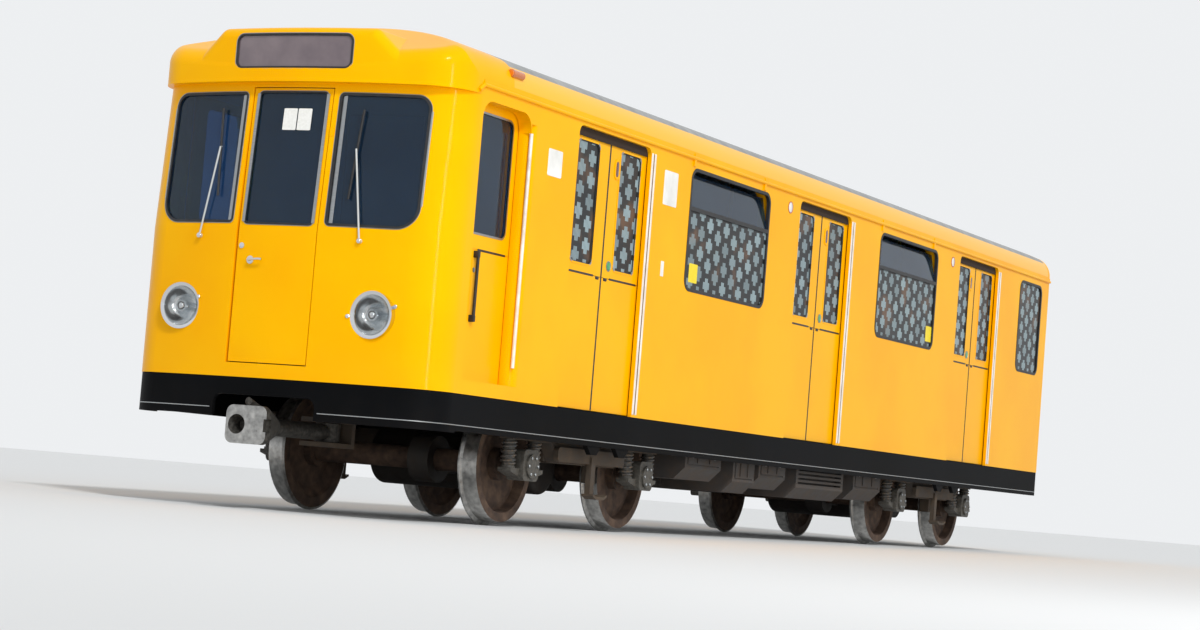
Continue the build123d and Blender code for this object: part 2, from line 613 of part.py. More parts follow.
rear_glass = front_prism(rear_pane[0] + FIT, rear_pane[1] - FIT, rear_pane[2] + FIT, rear_pane[3] - FIT,
                         LEAF_PANE_R - FIT, rear_door_x + 14, rear_door_x + 14 + PANE_THICK)
save("rear_door", rear_door, rear_glass)

# Roof shell behind the dome.
save("roof", roof_solid(0, END_FACE_X, DOME_X) - roof_solid(SHELL, END_FACE_X, DOME_X))


def dome_solid(inset):
    """The roof's front: section, plan and falling side view in one, its brow rounded over."""
    slope = math.tan(math.radians(BROW_SLOPE))
    brow = WALL_TOP + BROW_RISE - inset
    top = ROOF_TOP + 5 - inset
    section = roof_solid(inset, DOME_X, FRONT_X + 20)
    section += block(NOSE_JOINT_X, FRONT_X + 20, -HALF + inset, HALF - inset, VISOR_Z, WALL_TOP)
    plan = extrude(level(nose_face(inset, 0, DOME_X), VISOR_Z), ROOF_TOP - VISOR_Z)
    outline = Polyline((DOME_X, VISOR_Z), (FRONT_X + 20, VISOR_Z), (FRONT_X + 20, brow - 20 * slope),
                       (FRONT_X - (top - brow) / slope, top), (DOME_X, top), close=True)
    body = (section & plan & extrude(side_plane(HALF) * make_face(outline), BODY_WIDTH)).solids()[0]
    fall = [face for face in body.faces() if face.geom_type == GeomType.PLANE and 0.5 < face.normal_at().Z < 0.99]
    brows = [edge for edge in fall[0].edges() if edge.center().X > FRONT_X - CORNER_R - 30 and edge.length > 60]
    return body.fillet(BROW_R - inset, brows)


def sign_solid(inset):
    """The sign hump over the visor: a bowed face with sloping flanks, its crest rounded over."""
    top = WALL_TOP + SIGN_RISE - inset
    brow = WALL_TOP + BROW_RISE - inset
    foot = SIGN_FOOT_HALF - inset
    crest = SIGN_TOP_HALF - 0.6 * inset
    outline = Polyline((-foot, VISOR_Z + 40), (-foot, brow), (-crest, top), (crest, top), (foot, brow),
                       (foot, VISOR_Z + 40), close=True)
    box = extrude(cross_plane(NOSE_JOINT_X) * make_face(outline), NOSE_LENGTH + 50)
    plan = extrude(level(nose_face(SIGN_SETBACK + inset, 0, DOME_X), VISOR_Z), ROOF_TOP - VISOR_Z)
    body = (box & plan).solids()[0]
    rounded = []
    for edge in body.edges():
        middle = edge.center()
        at_front = middle.X > FRONT_X - 140 and middle.Z > rail(brow) - 10
        at_crest = abs(abs(middle.Y) - crest) < 30 and abs(middle.Z - rail(top)) < 2
        if at_front or at_crest:
            rounded.append(edge)
    return body.fillet(SIGN_EDGE_R - inset, rounded)


# Front dome with the visor and the sign hump, hollow inside, its sign window cut.
SIGN_Z = VISOR_Z + SIGN_GLASS_RISE
sign_window = (-SIGN_GLASS_HALF, SIGN_GLASS_HALF, SIGN_Z, SIGN_Z + SIGN_GLASS_HEIGHT)
soffit = block(DOME_X, FRONT_X + 50, -HALF, HALF, VISOR_Z, VISOR_Z + SOFFIT)
cab_top = extrude(level(nose_face(NOSE_WALL, RAKE), VISOR_Z), SOFFIT)
hollow = (dome_solid(SHELL) + sign_solid(SHELL)) - soffit
dome = dome_solid(0) + sign_solid(0)
dome -= hollow
dome -= cab_top
dome -= front_prism(*sign_window, SIGN_GLASS_R, FRONT_X - 200, FRONT_X + 50)
save("front_dome", dome)

# Front apron below the nose, open in the middle for the coupler.
apron_foot = SILL_TOP - APRON_FOOT
apron = extrude(level(nose_face(SILL_INSET), apron_foot), APRON_FOOT)
apron -= extrude(level(nose_face(SILL_INSET + 30), apron_foot), APRON_FOOT)
apron -= front_prism(-APRON_OPEN, APRON_OPEN, apron_foot - 200, COUPLER_Z + 190, 60, FRONT_X - 400, FRONT_X + 50)
save("front_apron", apron)

# Gutters along both wall tops: an upright lip with a bead, falling to the visor, on small brackets.
bead_z = WALL_TOP - GUTTER_DROP
visor_end = NOSE_JOINT_X + 60
fall_z = VISOR_Z + 20
gutter = block(REAR_X, NOSE_JOINT_X, HALF, HALF + 6, bead_z, bead_z + GUTTER_RISE)
gutter += rod((REAR_X, HALF + 5, bead_z), (NOSE_JOINT_X, HALF + 5, bead_z), BEAD_R)
gutter += Pos(NOSE_JOINT_X, HALF + 5, rail(bead_z)) * Sphere(BEAD_R)
gutter += rod((NOSE_JOINT_X, HALF + 5, bead_z), (visor_end, HALF + 5, fall_z), BEAD_R)
gutter_bays = [(front + rear) / 2 + shift for front, rear in zip(DOORWAYS, DOORWAYS[1:]) for shift in (680, -650)]
for x in gutter_bays:
    gutter += block(x - 15, x + 15, HALF, HALF + 12, bead_z - 60, bead_z + GUTTER_RISE)
gutter -= block(REAR_X - 50, FRONT_X, HALF - 40, HALF, bead_z - 100, bead_z + 100)
save("gutters", *both(gutter))

# Window frames and panes of the fixed windows; the upper lights are vents, tilted in at the top.
frames = []
panes = []
frame_y = (HALF - FRAME_DEPTH, HALF + FRAME_RISE)
glass_y = (HALF - PANE_DEPTH, HALF - PANE_DEPTH + PANE_THICK)
for x0, x1 in WINDOWS + [SMALL_WINDOW]:
    ring = side_prism(x0 + FIT, x1 - FIT, WINDOW_Z + FIT, WINDOW_TOP - FIT, WINDOW_R - FIT, *frame_y)
    hole = (x0 + FRAME_WIDTH, x1 - FRAME_WIDTH, WINDOW_Z + FRAME_WIDTH, WINDOW_TOP - FRAME_WIDTH)
    inside = side_prism(*hole, WINDOW_R - FRAME_WIDTH, *frame_y)
    pane = side_prism(hole[0] + FIT, hole[1] - FIT, hole[2] + FIT, hole[3] - FIT, WINDOW_R - FRAME_WIDTH - FIT,
                      *glass_y)
    if (x0, x1) == SMALL_WINDOW:
        frames += both(ring - inside)
        panes += both(pane)
        continue
    bar = block(hole[0], hole[1], *frame_y, DIVIDER_Z, DIVIDER_Z + DIVIDER)
    frames += both(ring - (inside - bar))
    lower = pane - block(x0, x1, *glass_y, DIVIDER_Z - FIT, WINDOW_TOP)
    foot_z = DIVIDER_Z + DIVIDER + FIT
    lean = PANE_THICK * math.tan(math.radians(VENT_TILT))
    upper = block(hole[0] + FIT + 4, hole[1] - FIT - 4, *glass_y, foot_z + lean, hole[3] - 12)
    axis = Axis((0, glass_y[1], rail(foot_z)), (1, 0, 0))
    panes += both(lower) + both(upper.rotate(axis, VENT_TILT))
for side in (1, -1):
    ring = (nose_solid(-3) - nose_solid(30)) & (screen(FIT) - screen(RUBBER + FIT))
    light = (nose_solid(10) - nose_solid(10 + PANE_THICK)) & screen(RUBBER + 2 * FIT)
    frames.append(ring if side > 0 else mirrored(ring))
    panes.append(light if side > 0 else mirrored(light))
for y0, y1 in rear_windows:
    z0, z1 = WINDOW_Z, rear_window_top
    ring = front_prism(y0 + FIT, y1 - FIT, z0 + FIT, z1 - FIT, WINDOW_R - FIT, REAR_X, REAR_X + 30)
    ring -= front_prism(y0 + FRAME_WIDTH, y1 - FRAME_WIDTH, z0 + FRAME_WIDTH, z1 - FRAME_WIDTH,
                        WINDOW_R - FRAME_WIDTH, REAR_X, REAR_X + 30)
    frames.append(ring)
    inset = FRAME_WIDTH + FIT
    panes.append(front_prism(y0 + inset, y1 - inset, z0 + inset, z1 - inset, WINDOW_R - inset, REAR_X + 12,
                             REAR_X + 12 + PANE_THICK))
sign_pane = extrude(level(nose_face(SIGN_SETBACK + 6, 0, DOME_X), VISOR_Z), ROOF_TOP - VISOR_Z)
sign_pane -= extrude(level(nose_face(SIGN_SETBACK + 6 + PANE_THICK, 0, DOME_X), VISOR_Z), ROOF_TOP - VISOR_Z)
panes.append(sign_pane & front_prism(sign_window[0] + FIT, sign_window[1] - FIT, sign_window[2] + FIT,
                                     sign_window[3] - FIT, SIGN_GLASS_R - FIT, FRONT_X - 200, FRONT_X + 50))
save("window_frames", *frames)
save("window_glass", *panes)

# Bulkhead between cab and saloon, with its door.
bulk_x = FRONT_X - CAB_LENGTH
bulkhead = block(bulk_x, bulk_x + BULKHEAD, -INNER_Y, INNER_Y, FLOOR_TOP, WALL_TOP)
bulkhead += roof_solid(SHELL, bulk_x, bulk_x + BULKHEAD)
bulkhead -= block(bulk_x, bulk_x + BULKHEAD, -END_DOOR_HALF, END_DOOR_HALF, FLOOR_TOP, END_DOOR_TOP)
bulk_hinge = (bulk_x - 12, END_DOOR_HALF - GAP / 2)
tab = (bulk_hinge[0] - KNUCKLE_R, bulk_x, bulk_hinge[1] + 2, END_DOOR_HALF + 30)
bulk_fixed, bulk_moving = hinge(*bulk_hinge, tab)
for knuckle in bulk_fixed:
    bulkhead += knuckle
save("cab_bulkhead", bulkhead)
bulk_door = block(bulk_x + 2, bulk_x + BULKHEAD - 2, -END_DOOR_HALF + GAP, END_DOOR_HALF - GAP,
                  FLOOR_TOP + DOOR_FOOT, END_DOOR_TOP - DOOR_HEAD)
for knuckle, z in zip(bulk_moving, HINGE_HEIGHTS):
    bulk_door += block(bulk_hinge[0], bulk_x + 2, bulk_hinge[1] - 40, END_DOOR_HALF - GAP,
                       z + KNUCKLE + FIT, z + 2 * KNUCKLE)
    bulk_door += knuckle
save("bulkhead_door", bulk_door)

# Driver's desk: a console with a sloping panel, a kneehole and a master controller.
DESK_REAR = 435.0
DESK_DEPTH = 200.0
DESK_HEIGHT = 560.0
DESK_INSET = 530.0
DESK_WIDTH = 560.0
DESK_WALL = 90.0
desk_x = FRONT_X - DESK_REAR
desk_y = DESK_INSET - HALF
desk_z = FLOOR_TOP + DESK_HEIGHT
desk_face = make_face(Polyline((desk_x, FLOOR_TOP), (desk_x, desk_z), (desk_x + 30, desk_z + 110),
                               (desk_x + DESK_DEPTH, desk_z + 170), (desk_x + DESK_DEPTH, FLOOR_TOP), close=True))
desk = extrude(side_plane(desk_y + DESK_WIDTH / 2) * desk_face, DESK_WIDTH)
desk -= block(desk_x, desk_x + DESK_DEPTH - 30, desk_y - DESK_WIDTH / 2 + DESK_WALL,
              desk_y + DESK_WIDTH / 2 - DESK_WALL, FLOOR_TOP + 60, desk_z - DESK_WALL)
lever = (desk_x + 80, desk_y + 160)
desk += rod((*lever, desk_z + 60), (*lever, desk_z + 150), 45)
desk += rod((*lever, desk_z + 140), (lever[0] - 60, lever[1] + 40, desk_z + 180), 9)
save("driver_desk", desk)

# Driver's seat: a pedestal and pan, with a cushion and a back that are padded.
SEAT_SETBACK = 945.0
SEAT_Y = -100.0
SEAT_WIDTH = 400.0
SEAT_HEIGHT = 410.0
seat_x = FRONT_X - SEAT_SETBACK
seat_z = FLOOR_TOP + SEAT_HEIGHT
seat_y = (SEAT_Y - SEAT_WIDTH / 2, SEAT_Y + SEAT_WIDTH / 2)
seat = rod((seat_x, SEAT_Y, FLOOR_TOP), (seat_x, SEAT_Y, seat_z), 40)
seat += rod((seat_x, SEAT_Y, FLOOR_TOP), (seat_x, SEAT_Y, FLOOR_TOP + 20), 140)
seat += block(seat_x - 180, seat_x + 170, seat_y[0] + 20, seat_y[1] - 20, seat_z, seat_z + 15)
seat += block(seat_x - 200, seat_x - 180, SEAT_Y - 60, SEAT_Y + 60, seat_z, seat_z + 450)
cushion = Pos(seat_x, SEAT_Y, rail(seat_z + 15 + FIT)) * extrude(RectangleRounded(340, SEAT_WIDTH, 60), 80)
back = front_prism(*seat_y, seat_z + 110, seat_z + 560, 60, seat_x - 180 + FIT, seat_x - 110)
save("driver_seat", seat, cushion, back)

# Longitudinal benches between the doorways: moulded shells with a hollowed seat and a curved back.
BENCH_CLEAR = 121.0
BENCH_DEPTH = 420.0
BENCH_BASE = 240.0
BENCH_SEAT = 410.0
BENCH_BACK = 850.0
bench_spans = [(rear + DOORWAY_HALF + BENCH_CLEAR, front - DOORWAY_HALF - BENCH_CLEAR)
               for front, rear in zip(DOORWAYS, DOORWAYS[1:])]
bench_spans.append((END_FACE_X + 55, DOORWAYS[-1] - DOORWAY_HALF - BENCH_CLEAR))
y0 = INNER_Y
z0 = FLOOR_TOP
front_y = y0 - BENCH_DEPTH
bench_face = make_face([
    Line((y0, z0), (y0 - BENCH_BASE, z0)),
    Line((y0 - BENCH_BASE, z0), (y0 - BENCH_BASE, z0 + BENCH_SEAT - 110)),
    Line((y0 - BENCH_BASE, z0 + BENCH_SEAT - 110), (front_y, z0 + BENCH_SEAT - 60)),
    ThreePointArc((front_y, z0 + BENCH_SEAT - 60), (front_y - 18, z0 + BENCH_SEAT - 20), (front_y + 20, z0 + BENCH_SEAT)),
    ThreePointArc((front_y + 20, z0 + BENCH_SEAT), (y0 - 260, z0 + BENCH_SEAT - 38), (y0 - 110, z0 + BENCH_SEAT - 10)),
    ThreePointArc((y0 - 110, z0 + BENCH_SEAT - 10), (y0 - 62, z0 + BENCH_SEAT + 190), (y0 - 70, z0 + BENCH_BACK)),
    Line((y0 - 70, z0 + BENCH_BACK), (y0, z0 + BENCH_BACK)),
    Line((y0, z0 + BENCH_BACK), (y0, z0))])
benches = []
for x0, x1 in bench_spans:
    benches += both(extrude(cross_plane(x0) * bench_face, x1 - x0))
save("benches", *benches)

# Grab poles at the bench ends, floor to ceiling, and the upright rails beside the cab doors.
pole_y = benches[0].bounding_box().min.Y - POLE_R - FIT
poles = []
for x in [edge for pair in bench_spans for edge in pair][:-2] + [bench_spans[-1][1]]:
    poles += both(rod((x, pole_y, FLOOR_TOP), (x, pole_y, ceiling(pole_y + POLE_R) - FIT), POLE_R))
rail_x = CAB_RECESS_REAR - 15
rail_y = HALF - 8
hand_rail = rod((rail_x, rail_y, FLOOR_TOP + 120), (rail_x, rail_y, CAB_RECESS_TOP - CAB_RECESS_R), RAIL_R)
for z in (FLOOR_TOP + 180, FLOOR_TOP + 860, CAB_RECESS_TOP - CAB_RECESS_R - 60):
    hand_rail += rod((rail_x, rail_y, z), (rail_x - 40, rail_y - 60, z), 7)
hand_rail -= rod((roll_x, roll_y, FLOOR_TOP), (roll_x, roll_y, CAB_RECESS_TOP), CAB_EDGE_R + FIT)
hand_rail = hand_rail.solids().sort_by(SortBy.VOLUME)[-1]
save("grab_poles", *poles, *both(hand_rail))

# Headlamps: a turned body with a bezel and a domed lens. Marker lamps lie on the roof's shoulder.
lamp_face = nose_x(lamp_y, lamp_z)
lamp_back = lamp_face - LAMP_DEPTH
lens_r = LAMP_R - LAMP_BEZEL
dome_r = (lens_r ** 2 + LAMP_DOME ** 2) / (2 * LAMP_DOME)
dome_turn = math.degrees(math.asin(lens_r / dome_r))
lamp_outline = [Line((lamp_back, 0), (lamp_back, LAMP_R)), Line((lamp_back, LAMP_R), (lamp_face + 16, LAMP_R)),
                Line((lamp_face + 16, LAMP_R), (lamp_face + 8, lens_r)),
                CenterArc((lamp_face + 8 + LAMP_DOME - dome_r, 0), dome_r, 0, dome_turn),
                Line((lamp_face + 8 + LAMP_DOME, 0), (lamp_back, 0))]
headlamp = revolve(make_face(lamp_outline), Axis.X)
marker_x = FRONT_X - MARKER_SETBACK
marker_z = WALL_TOP + MARKER_RISE
marker_y = shoulder_y(marker_z)
marker = rod((marker_x - MARKER_LENGTH / 2, marker_y + 5, marker_z),
             (marker_x + MARKER_LENGTH / 2, marker_y + 5, marker_z), MARKER_R)
marker = fillet(marker.edges(), 9) - roof_solid(-FIT, DOME_X - 400, NOSE_JOINT_X)
save("lamps", *[Pos(0, side * lamp_y, rail(lamp_z)) * headlamp for side in (1, -1)], *both(marker))

# Wipers: a foot, an arm leaning to the middle, and a blade standing off the glass.
wiper_foot_z = SCREEN_Z - LAMP_BEZEL * 4
wiper_foot = (nose_x(WIPER_Y - 14, wiper_foot_z) + FIT, WIPER_Y, wiper_foot_z)
wiper_knee = (wiper_foot[0] + 22, WIPER_Y, wiper_foot_z)
tip_y = WIPER_Y - WIPER_LEAN
tip_z = wiper_foot_z + WIPER_LENGTH
wiper_tip = (nose_x(tip_y, tip_z) + 22, tip_y, tip_z)
blade_low = (nose_x(tip_y, tip_z - 320) + 12, tip_y - 20, tip_z - 320)
blade_high = (nose_x(tip_y, tip_z + 250) + 12, tip_y + 20, tip_z - 320 + BLADE_LENGTH)
wiper = rod(wiper_foot, wiper_knee, 14) + rod((wiper_knee[0] - 6, WIPER_Y, wiper_foot_z), wiper_tip, 6)
wiper += rod(blade_low, blade_high, 8) + rod(wiper_tip, (wiper_tip[0] - 14, tip_y, tip_z), 6)
save("wipers", *both(wiper))

# Roof vents along the crown: rounded hoods with louvres in their sides.
VENT_COUNT = 6
VENT_PITCH = 1800.0
VENT_HALF = (350.0, 260.0)
VENT_RISE = 40.0
hood = extrude(level(RectangleRounded(2 * VENT_HALF[0], 2 * VENT_HALF[1], 70), ROOF_TOP - 80), 80 + VENT_RISE)
hood = fillet(hood.edges().group_by(Axis.Z)[-1], 14)
for way in (1, -1):
    for x in (-210, -70, 70, 210):
        y0, y1 = sorted((way * (VENT_HALF[1] - 14), way * VENT_HALF[1]))
        hood -= block(x - 50, x + 50, y0, y1, ROOF_TOP + 4, ROOF_TOP + 16)
vents = []
for step in range(VENT_COUNT):
    vent = Pos((step - (VENT_COUNT - 1) / 2) * VENT_PITCH - 200, 0, 0) * hood
    vents.append(vent - roof_solid(-FIT, REAR_X, DOME_X))
save("roof_vents", *vents)

# Equipment under the floor, hung from the cross beams: cases, resistor banks and two air tanks.
rear_bay = (-bay_half, -mid_beam)
aft_bay = (-mid_beam, 0.0)
fore_bay = (0.0, mid_beam)
front_bay = (mid_beam, bay_half)
# bay, side, start and end as shares of the bay's clear length, foot below the beams, kind
EQUIPMENT = [(rear_bay, -1, 0.0, 1.0, 430, "case"), (aft_bay, 1, 0.0, 1.0, 430, "bank"),
             (fore_bay, 1, 0.0, 0.52, 380, "case"), (fore_bay, 1, 0.6, 1.0, 430, "case"),
             (aft_bay, -1, 0.0, 1.0, 400, "case"), (fore_bay, -1, 0.0, 1.0, 430, "bank"),
             (front_bay, -1, 0.0, 1.0, 360, "case"), (rear_bay, 1, 0.0, 1.0, 400, "case"),
             (front_bay, 1, 0.0, 1.0, 360, "case")]
case_y0 = 430.0
case_y1 = HALF - 110
hang_z = beam_z + BEAM_STEP - FIT
equipment = []
for bay, side, start, end, depth, kind in EQUIPMENT:
    clear = (bay[0] + BOX_CLEAR, bay[1] - BOX_CLEAR)
    x0 = clear[0] + start * (clear[1] - clear[0])
    x1 = clear[0] + end * (clear[1] - clear[0])
    low = hang_z - depth
    outline = Polyline((case_y0, hang_z), (case_y0, low + 30), (case_y0 + 30, low), (case_y1 - 90, low),
                       (case_y1, low + 90), (case_y1, hang_z), close=True)
    box = extrude(cross_plane(x0) * make_face(outline), x1 - x0)
    if kind == "bank":
        for step in range(7):
            z = low + 120 + step * 36
            box -= block(x0 + 50, x1 - 50, case_y1 - 60, case_y1, z, z + 16)
    else:
        box -= block(x0 + 40, x1 - 40, case_y1 - 8, case_y1, low + 110, hang_z - 50)
        lid = block(x0 + 48, x1 - 48, case_y1 - 8, case_y1 + 4, low + 118, hang_z - 58)
        for share in (0.33, 0.67):
            middle = x0 + share * (x1 - x0)
            lid += block(middle - 12, middle + 12, case_y1 + 4, case_y1 + 12, low + 130, hang_z - 70)
        box += lid
    for hanger in (x0 + 30, x1 - 90):
        box += block(hanger, hanger + 60, case_y0 + 60, case_y1 - 120, hang_z, FLOOR_LOW - FIT)
    equipment.append(box if side > 0 else mirrored(box))
TANK_Y = 160.0
TANK_R = 130.0
tank_z = beam_z - 160
tank_half = mid_beam - 200
for side in (1, -1):
    tank = rod((-tank_half, TANK_Y, tank_z), (tank_half, TANK_Y, tank_z), TANK_R)
    tank = fillet(tank.edges(), 45)
    for x in (-0.7 * tank_half, 0.7 * tank_half):
        tank += block(x - 30, x + 30, TANK_Y - 60, TANK_Y + 60, tank_z, FLOOR_LOW - FIT)
        tank += rod((x - 30, TANK_Y, tank_z), (x + 30, TANK_Y, tank_z), TANK_R + 6)
    equipment.append(tank if side > 0 else mirrored(tank))
save("underfloor_equipment", *equipment)

# Wheelsets: axle and two wheels turned as one profile.
wheel_in = BACK_TO_BACK / 2
wheel_out = wheel_in + WHEEL_WIDTH
hub_r = AXLE_R + 35
flange_r = WHEEL_R + FLANGE_DEPTH
half_profile = Polyline((0, 0), (AXLE_R, 0), (AXLE_R, wheel_in - 30), (hub_r, wheel_in - 30), (hub_r, wheel_in + 30),
                        (WHEEL_R - 130, wheel_in + 50), (WHEEL_R - 75, wheel_in + 20), (WHEEL_R - 60, wheel_in),
                        (WHEEL_R + 10, wheel_in), (flange_r, wheel_in + 10), (flange_r, wheel_in + 20),
                        (WHEEL_R + 3, wheel_in + FLANGE_WIDTH), (WHEEL_R - 2, wheel_out), (WHEEL_R - 60, wheel_out),
                        (WHEEL_R - 72, wheel_in + 60), (WHEEL_R - 130, wheel_in + 75), (hub_r, wheel_in + 62),
                        (hub_r, wheel_out - 15), (AXLE_R, wheel_out - 15), (AXLE_R, FRAME_Y - 20),
                        (JOURNAL_R, FRAME_Y - 20), (JOURNAL_R, JOURNAL_END), (0, JOURNAL_END), close=True)
half_axle = revolve(make_face(half_profile), Axis.Y)
wheelset = half_axle + mirrored(half_axle)
number = 0
for bogie_x in (BOGIE_X, -BOGIE_X):
    for way in (1, -1):
        number += 1
        save(f"wheelset_{number}", Pos(bogie_x + way * half_base, 0, rail(WHEEL_R)) * wheelset)

# Bogies: swan-necked side frames with flanged faces, a bored transom, brake shoes at the wheels,
# sprung axleboxes, traction motors with their gear cases, and collector beams.
frame_end = half_base + FRAME_OVERHANG
frame_low = WHEEL_R + FRAME_CLEAR
frame_high = frame_low + FRAME_DEPTH_END
transom_low = WHEEL_R + TRANSOM_LOW
transom_top = transom_low + TRANSOM_DEPTH
neck_x = DROP_HALF + DROP_SLOPE
motor_x = TRANSOM_HALF + MOTOR_R + 80
motor_z = WHEEL_R + 10
neck = fillet(make_face(Polyline(
    (-frame_end, frame_low), (-neck_x, frame_low), (-DROP_HALF, transom_low), (DROP_HALF, transom_low),
    (neck_x, frame_low), (frame_end, frame_low), (frame_end, frame_high - 20), (neck_x + 40, frame_high),
    (DROP_HALF + 20, transom_top), (-DROP_HALF - 20, transom_top), (-neck_x - 40, frame_high),
    (-frame_end, frame_high - 20), close=True)).vertices(), 18)
side_frame = extrude(side_plane(FRAME_Y + FRAME_THICK) * neck, FRAME_THICK)
side_frame -= extrude(side_plane(FRAME_Y + FRAME_THICK) * offset(neck, -16), 14)
shoe_r = WHEEL_R + SHOE_GAP
for way in (1, -1):
    axle_x = way * half_base
    shoe_x = axle_x - way * (shoe_r + 10)
    s0, s1 = sorted((shoe_x - way * 40, shoe_x + way * 60))
    shoe = block(s0, s1, wheel_in + FLANGE_WIDTH + 8, wheel_out - 8, WHEEL_R - 80, WHEEL_R + 90)
    shoe -= rod((axle_x, wheel_in, WHEEL_R), (axle_x, wheel_out, WHEEL_R), shoe_r)
    h0, h1 = sorted((shoe_x - way * 40, shoe_x - way * 5))
    shoe += block(h0, h1, wheel_in + FLANGE_WIDTH + 8, FRAME_Y, WHEEL_R + 45, WHEEL_R + 90)
    side_frame += shoe
half_frame = side_frame + block(-TRANSOM_HALF, TRANSOM_HALF, 0, FRAME_Y, transom_low, transom_top)
half_frame += rod((0, BELLOWS_Y, transom_top - 40), (0, BELLOWS_Y, transom_top), BELLOWS_R)
bogie_frame = half_frame + mirrored(half_frame)
bogie_frame -= rod((0, 0, transom_low), (0, 0, transom_top), PIN_R + FIT)

arm_y = (FRAME_Y + 5, FRAME_Y + FRAME_THICK + 5)
spring_y = FRAME_Y + FRAME_THICK / 2
boxes = []
for way in (1, -1):
    x = way * half_base
    box = side_prism(x - BOX_HALF, x + BOX_HALF, WHEEL_R - 100, WHEEL_R + 110, 40, FRAME_Y + 5, BOX_Y)
    box += rod((x, BOX_Y, WHEEL_R), (x, BOX_Y + 16, WHEEL_R), 80)
    arm = Polyline((x - BOX_HALF - 120, WHEEL_R - 45), (x - BOX_HALF, WHEEL_R - 75), (x + BOX_HALF, WHEEL_R - 75),
                   (x + BOX_HALF + 120, WHEEL_R - 45), (x + BOX_HALF + 120, WHEEL_R - 20),
                   (x - BOX_HALF - 120, WHEEL_R - 20), close=True)
    box += extrude(side_plane(arm_y[1]) * make_face(arm), arm_y[1] - arm_y[0])
    for u in (x - SPRING_X, x + SPRING_X):
        box += rod((u, spring_y, WHEEL_R - 20), (u, spring_y, frame_low - FIT), SPRING_R)
        box += rod((u, spring_y, WHEEL_R - 20), (u, spring_y, WHEEL_R - 5), SPRING_R + 8)
    box -= rod((x, FRAME_Y, WHEEL_R), (x, JOURNAL_END + 6, WHEEL_R), JOURNAL_R + FIT)
    boxes.append(box)
bellows = revolve(Plane.XZ * make_face(Polyline((0, 0), (BELLOWS_R - 30, 0), (BELLOWS_R - 5, 45), (BELLOWS_R - 45, 80),
                                                (BELLOWS_R - 5, 115), (BELLOWS_R - 30, 160), (0, 160), close=True)),
                  Axis.Z)
bellows_rise = bolster_z - FIT - transom_top
boxes.append(Pos(0, BELLOWS_Y, rail(transom_top)) * scale(bellows, (1, 1, bellows_rise / 160)))

motors = []
for way in (1, -1):
    centre = way * motor_x
    axle_x = way * half_base
    motor = rod((centre, -MOTOR_HALF, motor_z), (centre, MOTOR_HALF, motor_z), MOTOR_R)
    motor = fillet(motor.edges(), 40)
    near, far = sorted((way * TRANSOM_HALF, centre))
    motor += block(near, far, -300, 300, transom_low + 10, transom_top - 20)
    near, far = sorted((centre, axle_x))
    gears = rod((axle_x, 150, WHEEL_R), (axle_x, 310, WHEEL_R), GEAR_R)
    gears += block(near, far, 160, 300, WHEEL_R - 90, WHEEL_R + 90)
    gears -= rod((axle_x, 140, WHEEL_R), (axle_x, 320, WHEEL_R), AXLE_R + 6)
    motors.append(motor + gears)

beam_y = FRAME_Y + FRAME_THICK
beam = side_prism(-520, 520, transom_low + 10, transom_low + 110, 30, beam_y, beam_y + 35)
shoe = make_face(Polyline((-110, 222), (-60, 200), (60, 200), (110, 222), (110, 236), (60, 220), (-60, 220),
                          (-110, 236), close=True))
beam += extrude(side_plane(beam_y + 120) * shoe, 90)
beam += block(-30, 30, beam_y + 10, beam_y + 50, 205, transom_low + 60)
for name, bogie_x in (("front", BOGIE_X), ("rear", -BOGIE_X)):
    at = Pos(bogie_x, 0, 0)
    save(f"bogie_{name}_frame", at * bogie_frame)
    save(f"bogie_{name}_axleboxes", *[at * piece for box in boxes for piece in both(box)])
    save(f"bogie_{name}_motors", *[at * motor for motor in motors])
    save(f"bogie_{name}_collectors", *[at * piece for piece in both(beam)])

# Couplers: an automatic head ahead, tapered to its face plate, and a bolted short coupler behind.
reach = FRONT_X + COUPLER_REACH
eye = rod((COUPLER_X, 0, COUPLER_Z - 60), (COUPLER_X, 0, COUPLER_Z + 60), COUPLER_EYE_R)
pin_hole = rod((COUPLER_X, 0, COUPLER_Z - 60), (COUPLER_X, 0, COUPLER_Z + 60), COUPLER_PIN_R + FIT)
neck_face = cross_plane(reach - 300) * (Pos(0, COUPLER_Z) * RectangleRounded(120, 120, 50))
plate_face = cross_plane(reach - 50) * (Pos(0, COUPLER_Z) * RectangleRounded(300, 240, 50))
head = loft([neck_face, plate_face], ruled=True)
head += front_prism(-150, 150, COUPLER_Z - 120, COUPLER_Z + 120, 50, reach - 50, reach)
funnel = Polyline((0, 0), (0, 62), (-30, 50), (-90, 34), (-90, 0), close=True)
head -= Pos(reach, -70, rail(COUPLER_Z)) * revolve(make_face(funnel), Axis.X)
head -= block(reach - 60, reach, 130, 150, COUPLER_Z - 40, COUPLER_Z + 40)
lug = rod((reach - 260, 0, COUPLER_Z + 60), (reach, 0, COUPLER_Z + 150), 24)
head += lug - block(reach - 10, reach + 50, -50, 50, COUPLER_Z, COUPLER_Z + 250)
bar = rod((COUPLER_X, 0, COUPLER_Z), (reach - 200, 0, COUPLER_Z), COUPLER_BAR_R)
save("coupler_front", bar + eye + head - pin_hole)
flange = rod((reach - 25, 0, COUPLER_Z), (reach, 0, COUPLER_Z), 150)
short_coupler = rod((COUPLER_X, 0, COUPLER_Z), (reach - 20, 0, COUPLER_Z), COUPLER_BAR_R) + eye + flange
for step in range(4):
    turn = math.radians(45 + 90 * step)
    rib = Polyline((reach - 120, 50), (reach - 25, 50), (reach - 25, 140), (reach - 40, 140), close=True)
    plate = extrude(Plane.XZ * make_face(rib), 8, both=True)
    short_coupler += Pos(0, 0, rail(COUPLER_Z)) * Rotation(math.degrees(turn), 0, 0) * plate
short_coupler -= pin_hole
